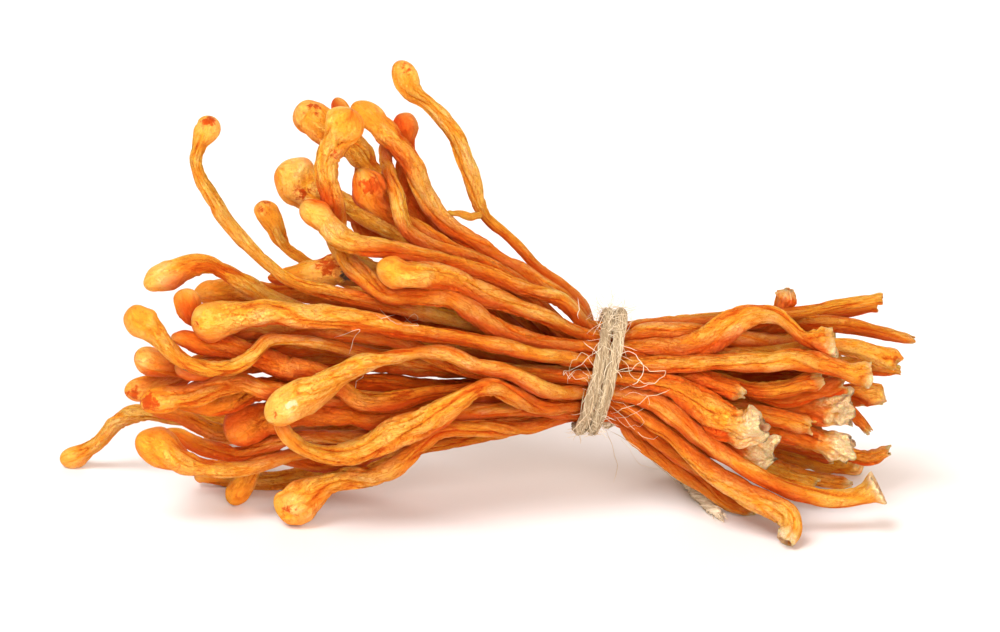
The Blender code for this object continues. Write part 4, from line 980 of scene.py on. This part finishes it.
# The free end of the twine: its solid's route, from the knot down to the surface.
tailLook = {
    "seed": 31,
    "route": [(13.0, 5.6, 8.6), (14.1, 8.4, 8.3), (16.2, 11.0, 7.3), (18.4, 12.2, 5.3), (20.3, 12.0, 3.1),
              (21.8, 10.4, 1.6), (22.8, 7.4, 0.9), (23.5, 4.4, 0.82), (24.3, 1.3, 0.82), (25.3, -1.8, 0.82),
              (26.5, -4.9, 0.82)],
    "smoothing": 24,
    "pathStep": 6,
    "radius": 0.74,
    "coreRadius": 0.62,
    "fibres": 120,
    "fray": 34,
    "frayLengths": (0.6, 1.5),
    "frayCurl": 0.25,
    "frayRows": 7,
    "frayAside": (0.40, 0.22),  # the mean and the spread of how its fibres head
    "frayUp": (0.05, 0.12),
    "fraySpread": (0.28, 0.28, 0.168),
}

# Long curly fibres that spring from the twine and lie over the stems, as they show in the view.
curlLook = {"radius": 0.03, "lift": 0.14, "smoothing": 9, "waver": 0.13, "waverStep": 4, "easing": 0.65,
            "easingRounds": 12, "insideBack": 2.0}
curlyFibres = [
    [(13.5, -7.0), (15.0, -6.8), (16.5, -5.8), (18.0, -6.4), (19.8, -6.7), (19.0, -7.6), (17.5, -8.4),
     (15.5, -8.2)],
    [(13.2, -11.6), (15.0, -11.2), (16.5, -10.6), (18.5, -9.5), (20.5, -8.7)],
    [(13.0, -9.5), (14.8, -10.6), (16.6, -11.6), (17.4, -12.8), (16.2, -13.4), (14.4, -12.6), (13.2, -11.4)],
    [(13.2, -12.3), (15.2, -12.0), (17.2, -11.2), (17.8, -9.8), (16.4, -9.2), (14.6, -9.9)],
    [(12.9, -10.4), (14.4, -11.8), (16.0, -13.6), (17.8, -14.6), (19.0, -14.2)],
    [(13.6, -5.2), (15.2, -4.4), (16.4, -5.0), (17.2, -6.6), (16.2, -8.0), (14.4, -8.9)],
    [(13.4, -4.2), (15.0, -5.4), (16.0, -7.2), (17.2, -8.2), (18.6, -8.0)],
    [(11.6, -4.4), (10.2, -5.3), (8.5, -6.4), (7.7, -7.0), (8.0, -7.4), (9.0, -6.9)],
    [(11.0, -7.6), (10.4, -7.0), (9.8, -6.4), (8.6, -6.8), (8.0, -7.8)],
    [(11.2, -5.2), (10.0, -4.6), (8.8, -5.2), (8.2, -6.6), (9.2, -7.6), (10.4, -7.2)],
    [(9.3, 2.0), (9.45, 0.8), (9.4, -0.3)],
    [(-14.5, 1.0), (-13.0, -0.5), (-12.5, -0.9), (-11.0, -0.3), (-10.2, 0.2), (-9.8, -0.4), (-11.0, -0.9)],
    [(-14.9, 0.2), (-13.8, -0.2), (-12.0, 0.1), (-10.6, -0.7), (-9.9, -1.1), (-11.6, -1.3)],
    [(-20.0, -2.5), (-18.0, -2.0), (-17.0, -1.5), (-17.5, -2.8), (-18.2, -4.5)],
    [(-16.3, -7.0), (-17.2, -7.8), (-17.3, -9.2)],
    [(12.4, -13.4), (13.2, -14.6), (13.8, -17.2), (13.7, -20.0)],
    [(13.0, -13.5), (16.0, -15.5), (19.5, -18.5), (22.0, -20.3)],
    [(14.0, -14.6), (15.5, -16.0), (16.3, -17.6), (18.0, -18.3), (19.5, -18.0)],
]


def windingLine(look):
    turns = np.linspace(0.0, look["turns"], int(look["turns"] * look["turnRows"]))
    angle = math.radians(look["startAngle"]) + 2 * math.pi * turns
    rise = look["loopRadius"] * np.sin(angle)
    across = look["middle"][0] + look["lean"] * rise + look["pitch"] * (turns - look["turns"] / 2)
    return originShift + np.column_stack([across, look["middle"][1] - look["loopRadius"] * np.cos(angle),
                                          look["middle"][2] + rise])


def knotLine(look):
    # an overhand lump at the back, underneath
    angle = math.radians(look["startAngle"])
    outward = np.array([0.0, -math.cos(angle), math.sin(angle)])
    beside = np.array([0.0, math.sin(angle), math.cos(angle)])
    lean = np.array([look["lean"] * look["loopRadius"] * math.sin(angle), 0.0, 0.0])
    centre = originShift + look["middle"] + lean + outward * (look["loopRadius"] + look["knotOut"])
    run = np.linspace(look["knotEnds"], 2 * math.pi - look["knotEnds"], look["knotRows"])
    wide = np.sin(run) + 2 * np.sin(2 * run)
    tall = np.cos(run) - 2 * np.cos(2 * run)
    deep = -np.sin(3 * run)
    across, along, out = look["knotSize"]
    lobes = np.outer(wide, (across, 0.0, 0.0)) + np.outer(tall * along, beside)
    return centre + lobes + np.outer(deep * out, outward)


def strandBody(name, line, look, radius, dice):
    # a twisted strand's core: plies that bulge out of a round cord
    around = look["around"]
    reach = lengthsAlong(line)
    along = np.linspace(0.0, reach[-1], int(reach[-1] / look["rowGap"]))
    places = pickAlong(along, reach, line)
    _, sides, ups = turningFrames(places)
    alongGrid, turnGrid = np.meshgrid(along, np.arange(around) / around, indexing="ij")
    plyTurn = (turnGrid + alongGrid / look["twistLength"]) * look["plies"]
    bulge = np.abs(np.cos(math.pi * plyTurn)) ** 0.7
    uneven = look["uneven"] * wrappedField(dice, look["unevenField"], alongGrid, turnGrid)
    wide = radius * (1 - look["plyDepth"] + look["plyDepth"] * bulge) * (1 + uneven)
    closing = np.minimum(1.0, np.minimum(along, along[::-1]) / (0.6 * radius))
    wide = wide * np.sqrt(closing)[:, None]
    grid = tubeGrid(places[:, None, :], sides, ups, wide, 2 * math.pi * turnGrid)
    piece, ring, column = sphereGrid(name, around, len(along) - 1)
    putPlaces(piece, grid[ring, column])
    # painted shade: the valleys between the plies darker than their bulges
    keepValues(piece, "shade", (0.2 + 0.5 * bulge)[ring, column])
    return piece


# A fibre's thickness as shares of its usual one, how soon it tapers, and how thin its tips are.
fibreForm = {"thickness": (0.6, 1.5), "taper": 8, "tip": 0.3}


def fibreTubes(name, lines, radius, dice):
    # many fine tubes as one mesh, each tapering to its ends and with a shade of its own
    curve = bpy.data.curves.new(name, "CURVE")
    curve.dimensions = "3D"
    curve.bevel_depth = mm
    curve.bevel_resolution = 0
    curve.use_fill_caps = True
    shades = dice.uniform(0.0, 1.0, len(lines))
    for line in lines:
        spline = curve.splines.new("POLY")
        spline.points.add(len(line) - 1)
        lifted = line.copy()
        lifted[:, 2] = np.maximum(lifted[:, 2], floorGap["fibre"])
        spline.points.foreach_set("co", np.column_stack([lifted * mm, np.ones(len(line))]).ravel())
        share = np.linspace(0.0, 1.0, len(line))
        taper = np.clip(np.minimum(share, 1 - share) * fibreForm["taper"], fibreForm["tip"], 1.0)
        spline.points.foreach_set("radius", radius * dice.uniform(*fibreForm["thickness"]) * taper)
    piece = addObject(name, curve)
    clearSelection()
    piece.select_set(True)
    bpy.context.view_layer.objects.active = piece
    bpy.ops.object.convert(target="MESH")
    piece = bpy.context.object
    # the converted mesh holds the tubes' end caps first, in reverse order, then the tubes
    onTubes = np.repeat(shades, [4 * len(line) for line in lines])
    keepValues(piece, "shade", np.concatenate([np.repeat(shades[::-1], 8), onTubes]))
    return piece


def anyWave(dice, along, least, most):
    # a wave of any pitch from the least to the most, that starts anywhere
    return np.sin(along * dice.uniform(least, most) + dice.uniform(0, 6))


def strandFibres(line, radius, count, look, dice, spans):
    # fibres that wind with the plies in the strand's surface, and slip in and out of it
    reach = lengthsAlong(line)
    _, sides, ups = turningFrames(line)
    core, bulge, slip = look["fibreOut"]
    lines = []
    for _ in range(count):
        span = min(dice.uniform(*spans), reach[-1])
        start = dice.uniform(-0.5 * span, reach[-1] - 0.5 * span)
        rows = int(span * look["fibreRows"]) + 4
        along = np.linspace(max(start, 0.0), min(start + span, reach[-1]), rows)
        places, side, up = (pickAlong(along, reach, column) for column in (line, sides, ups))
        twist = 2 * math.pi / look["twistLength"] * dice.uniform(*look["fibreTwists"])
        angle = dice.uniform(0, 2 * math.pi) - twist * along
        angle = angle + look["fibreSway"] * anyWave(dice, along, 0.4, 1.2)
        ply = np.abs(np.cos(math.pi * look["plies"] * (angle / (2 * math.pi) + along / look["twistLength"])))
        out = radius * (core + bulge * ply + slip * anyWave(dice, along, 0.5, 1.8))
        lines.append(places + side * (out * np.cos(angle))[:, None] + up * (out * np.sin(angle))[:, None])
    return lines


def bandFibres(look, dice):
    # fibres over both turns of the winding, that bridge the valley between them and stray over its edges
    middle = originShift + np.array(look["middle"])
    lines = []
    for _ in range(look["bandFibres"]):
        span = dice.uniform(*look["bandFibreSpans"])
        start = dice.uniform(0.0, 1.0 - span)
        turns = np.linspace(start, start + span, int(span * 100) + 5)
        angle = math.radians(look["startAngle"]) + 2 * math.pi * turns
        swing = dice.uniform(*look["bandSwings"]) * anyWave(dice, angle, 2.0, 5.0)
        offset = dice.normal(0.0, look["bandSpread"]) + swing
        beside = np.minimum(np.abs(np.abs(offset) - look["pitch"] / 2), look["bundleRadius"])
        bulge = np.sqrt(look["bundleRadius"] ** 2 - beside ** 2)
        bulge = np.where(np.abs(offset) < look["pitch"] / 2, np.maximum(bulge, look["valley"]), bulge)
        wave = look["bandWave"] * anyWave(dice, angle, 4.0, 9.0)
        out = look["loopRadius"] + bulge + dice.uniform(*look["bandLifts"]) + wave
        across = look["lean"] * look["loopRadius"] * np.sin(angle)
        across = across + look["pitch"] * (turns - look["bandMiddle"]) + offset
        lines.append(middle + np.column_stack([across, -out * np.cos(angle), out * np.sin(angle)]))
    return lines


hairUnrest = 0.35        # how much the bend of a loose fibre changes from point to point


def curlyHair(start, heading, length, curl, dice, points):
    # a loose fibre that wanders away from where it leaves the twine
    place = np.array(start, float)
    direction = np.array(heading, float) / np.linalg.norm(heading)
    turnAxis = dice.normal(size=3)
    turnAxis /= np.linalg.norm(turnAxis)
    step = length / points
    line = [place.copy()]
    for _ in range(points):
        turnAxis = turnAxis + dice.normal(0.0, hairUnrest, 3)
        turnAxis /= np.linalg.norm(turnAxis)
        direction = direction + np.cross(turnAxis, direction) * curl * step
        direction /= np.linalg.norm(direction)
        place = place + direction * step
        line.append(place.copy())
    return np.array(line)


def fuzzLines(look, line, dice):
    # short hairs all round the winding, mostly lying along it
    middle = originShift + np.array(look["middle"])
    ahead = np.gradient(line, axis=0)
    lines = []
    for _ in range(look["fuzz"]):
        i = dice.integers(4, len(line) - 4)
        outward = line[i] - middle
        outward[0] = 0.0
        outward /= np.linalg.norm(outward)
        along = ahead[i] / np.linalg.norm(ahead[i]) * dice.choice([-1, 1])
        sideways = np.array([dice.normal(0, look["fuzzAside"]), 0, 0])
        heading = along * dice.uniform(*look["fuzzAlong"]) + outward * dice.uniform(*look["fuzzOut"])
        length = dice.uniform(*look["fuzzLengths"]) * (look["fuzzBelow"] if outward[2] < -0.5 else 1.0)
        root = line[i] + outward * look["fuzzRoot"]
        lines.append(curlyHair(root, heading + sideways, length, look["fuzzCurl"], dice, look["fuzzRows"]))
    return lines


def waver(count, look, dice):
    # small bends that keep a laid fibre from being too even
    steps = np.arange(0, count + look["waverStep"], look["waverStep"])
    bends = dice.normal(0.0, look["waver"], (len(steps), 3))
    return pickAlong(np.arange(count), steps, bends)


def laidFibres(routes, look, dice):
    # each route is laid on whatever the camera sees there, or on the floor within the solids' depth
    graph = bpy.context.evaluated_depsgraph_get()
    back = cadHigh[1] / mm - look["insideBack"] - eye[1]
    lines = []
    for route in routes:
        flat = smoothThrough(np.column_stack([np.array(route), np.zeros(len(route))]), look["smoothing"])
        line = []
        for across, up, _ in flat:
            ray = viewRay(across, up)
            ray /= np.linalg.norm(ray)
            hit, place, *_ = bpy.context.scene.ray_cast(graph, Vector(eye * mm), Vector(ray))
            found = np.array(place) / mm if hit else eye + ray * min(eye[2] / -ray[2], back / ray[1])
            line.append(found - ray * look["lift"])
        line = np.array(line) + waver(len(line), look, dice)
        far = (line - eye) @ sight
        # a fibre spans a hollow instead of dropping into it
        eased = far.copy()
        for _ in range(look["easingRounds"]):
            middle = (np.roll(eased, 1) + np.roll(eased, -1)) / 2
            middle[[0, -1]] = eased[[0, -1]]
            eased = np.minimum(eased, (1 - look["easing"]) * eased + look["easing"] * middle)
        lines.append(eye + (line - eye) * (eased / far)[:, None])
    return lines


# Every piece rides on the one body and takes a material; a stem's material follows the record's slot for it.


def dress(piece, material):
    piece.data.materials.clear()
    piece.data.materials.append(material)
    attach(piece, "root")


# The free cord comes first, then the winding, the stems and the loose fibres.

dice = np.random.default_rng(tailLook["seed"])
tailLine = smoothThrough(np.array(tailLook["route"]) + originShift, tailLook["smoothing"])
tail = strandBody("twine_tail_strand", tailLine, twineLook, tailLook["coreRadius"], dice)
tailHairs = strandFibres(tailLine, tailLook["radius"], tailLook["fibres"], twineLook, dice,
                         twineLook["strandFibreSpans"])
for _ in range(tailLook["fray"]):
    heading = (dice.normal(*tailLook["frayAside"]), -1.0, dice.normal(*tailLook["frayUp"]))
    start = tailLine[-1] + dice.normal(0, tailLook["fraySpread"])
    length = dice.uniform(*tailLook["frayLengths"])
    tailHairs.append(curlyHair(start, heading, length, tailLook["frayCurl"], dice, tailLook["frayRows"]))
tailFray = fibreTubes("twine_tail_fibres", tailHairs, twineLook["strandFibreRadius"], dice)

windingPath = windingLine(twineLook)
winding = strandBody("twine_winding", windingPath, twineLook, twineLook["coreRadius"], dice)
knotPath = knotLine(twineLook)
knot = strandBody("twine_knot", knotPath, twineLook, twineLook["knotRadius"], dice)
windingLines = strandFibres(windingPath, twineLook["bundleRadius"], twineLook["strandFibres"],
                            twineLook, dice, twineLook["strandFibreSpans"])
windingLines += bandFibres(twineLook, dice)
windingLines += strandFibres(knotPath, twineLook["knotRadius"], twineLook["knotFibres"], twineLook, dice,
                             twineLook["knotFibreSpans"])
windingFibres = fibreTubes("twine_fibres", windingLines, twineLook["strandFibreRadius"], dice)
fuzz = fibreTubes("twine_fuzz", fuzzLines(twineLook, windingPath, dice), twineLook["fuzzRadius"], dice)
print("twine ready")

fleshGroup = fleshColourGroup(fleshLook, fleshPattern)
slots = {part["node"]: part["material_slot"] for part in frame["record"]["subparts"]}
fleshMaterials = {
    "orange_stem": fleshMaterial("driedOrangeFlesh", 0.0, fleshGroup),
    "brown_stem": fleshMaterial("driedBrownFlesh", 0.08, fleshGroup),
}
jute = {name: juteMaterial("jute" + name, look, jutePattern) for name, look in juteLook.items()}

stemLines = {node: nodeRings(node, solidForm) for node in stemNotes}
nearLines = {node: smoothThrough(line, shadeForm["smoothing"]) for node, line in stemLines.items()}
for number, node in enumerate(sorted(stemNotes)):
    stem = makeStem(number, node)
    dress(stem, fleshMaterials[slots[node]])
    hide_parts(node)
print("stems ready")

# The tall curled stem has one tiny side shoot.
shootLook = {
    "route": [(-6.3, 12.6), (-5.8, 12.35), (-5.0, 12.3), (-4.2, 12.05), (-3.5, 11.9), (-2.8, 12.1),
              (-2.1, 12.2)],
    "radii": [0.28, 0.30, 0.36, 0.50, 0.55, 0.50, 0.55],
    "depth": 2.7,
    "smoothing": 8,
    "around": 20,
    "seed": 77,
    "bumps": 0.16,
    "bumpField": (0.9, 4),
    "tipReach": 0.3,
    "tone": 0.15,
}


def makeShoot(look):
    rows = []
    for place, radius in zip(look["route"], look["radii"]):
        ray = viewRay(*place)
        reachY = (originShift[1] + look["depth"] - eye[1]) / ray[1]
        rows.append([*(eye + ray * reachY), radius])
    line = smoothThrough(np.array(rows), look["smoothing"])
    turn = np.arange(look["around"]) / look["around"]
    reach = lengthsAlong(line)
    _, sides, ups = turningFrames(line[:, :3])
    alongGrid, turnGrid = np.meshgrid(reach, turn, indexing="ij")
    dice = np.random.default_rng(look["seed"])
    bumps = 1 + look["bumps"] * wrappedField(dice, look["bumpField"], alongGrid, turnGrid)
    closing = np.sqrt(np.clip(np.minimum(reach, reach[::-1]) / look["tipReach"], 0.0, 1.0))
    angle = 2 * math.pi * turnGrid
    grid = tubeGrid(line[:, None, :3], sides, ups, (line[:, 3] * closing)[:, None] * bumps, angle)
    piece, ring, column = sphereGrid("stem_tall_curled_side_shoot", look["around"], len(line) - 1)
    putPlaces(piece, grid[ring, column])
    # painted shade and highlight: the shoot's bumps lighter, the hollows between them darker
    keepValues(piece, "reliefShade", (0.5 - bumps[ring, column] * 0.3))
    keepValues(piece, "tone", np.full(len(ring), look["tone"]))
    grain = np.stack([np.cos(angle), np.sin(angle), alongGrid], axis=-1)
    keepValues(piece, "grain", grain[ring, column])
    return piece


dress(makeShoot(shootLook), fleshMaterials["orange_stem"])

curls = fibreTubes("twine_curls", laidFibres(curlyFibres, curlLook, dice), curlLook["radius"], dice)
# the free end and its fray take the paler copy of the jute, as painted light
for piece, finish in ((tail, "End"), (tailFray, "End"), (winding, "Strand"), (knot, "Strand"),
                      (windingFibres, "Fibre"), (fuzz, "Hair"), (curls, "Hair")):
    dress(piece, jute[finish])
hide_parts("twine_tie")
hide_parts("twine_tail")
print("loose fibres ready")

# Floor and light, in metres.
studio = {
    "floorSize": 8.0,
    "floorColour": (0.88, 0.867, 0.872, 1.0),
    "floorRoughness": 0.7,
    "floorSpecular": 0.2,
    "world": 0.42,
    "worldColour": (1.0, 0.74, 0.57, 1.0),
    "lookedAt": (0.0, 0.0, 0.02),
    "lights": [
        {"name": "key_light", "place": (-1.2, -1.5, 2.7), "power": 99.0, "size": 1.7,
         "colour": (0.97, 0.985, 1.0)},
        {"name": "back_light", "place": (0.6, 3.3, 1.7), "power": 60.0, "size": 2.7,
         "colour": (1.0, 0.95, 0.90)},
        {"name": "front_light", "place": (0.75, -3.45, 1.14), "power": 182.0, "size": 2.7,
         "colour": (1.0, 0.90, 0.82)},
    ],
}


def softLight(spec, lookedAt):
    data = bpy.data.lights.new(spec["name"], "AREA")
    data.energy = spec["power"]
    data.size = spec["size"]
    data.color = spec["colour"]
    lamp = addObject(spec["name"], data)
    lamp.location = spec["place"]
    lamp.rotation_euler = (Vector(lookedAt) - Vector(spec["place"])).to_track_quat("-Z", "Y").to_euler()


def makeStudio(spec):
    clearSelection()
    bpy.ops.mesh.primitive_plane_add(size=spec["floorSize"], location=(0, 0, 0))
    floor = bpy.context.object
    floor.name = "studio_floor"
    material, _, shader = startMaterial("studioFloor")
    setInputs(shader, {"Base Color": spec["floorColour"], "Roughness": spec["floorRoughness"],
                       "Specular IOR Level": spec["floorSpecular"]})
    floor.data.materials.append(material)
    world = bpy.data.worlds.new("studioAir")
    world.use_nodes = True
    setInputs(world.node_tree.nodes["Background"], {"Color": spec["worldColour"], "Strength": spec["world"]})
    bpy.context.scene.world = world
    for light in spec["lights"]:
        softLight(light, spec["lookedAt"])
    bpy.context.scene.view_settings.view_transform = "Standard"


makeStudio(studio)
print("studio ready")
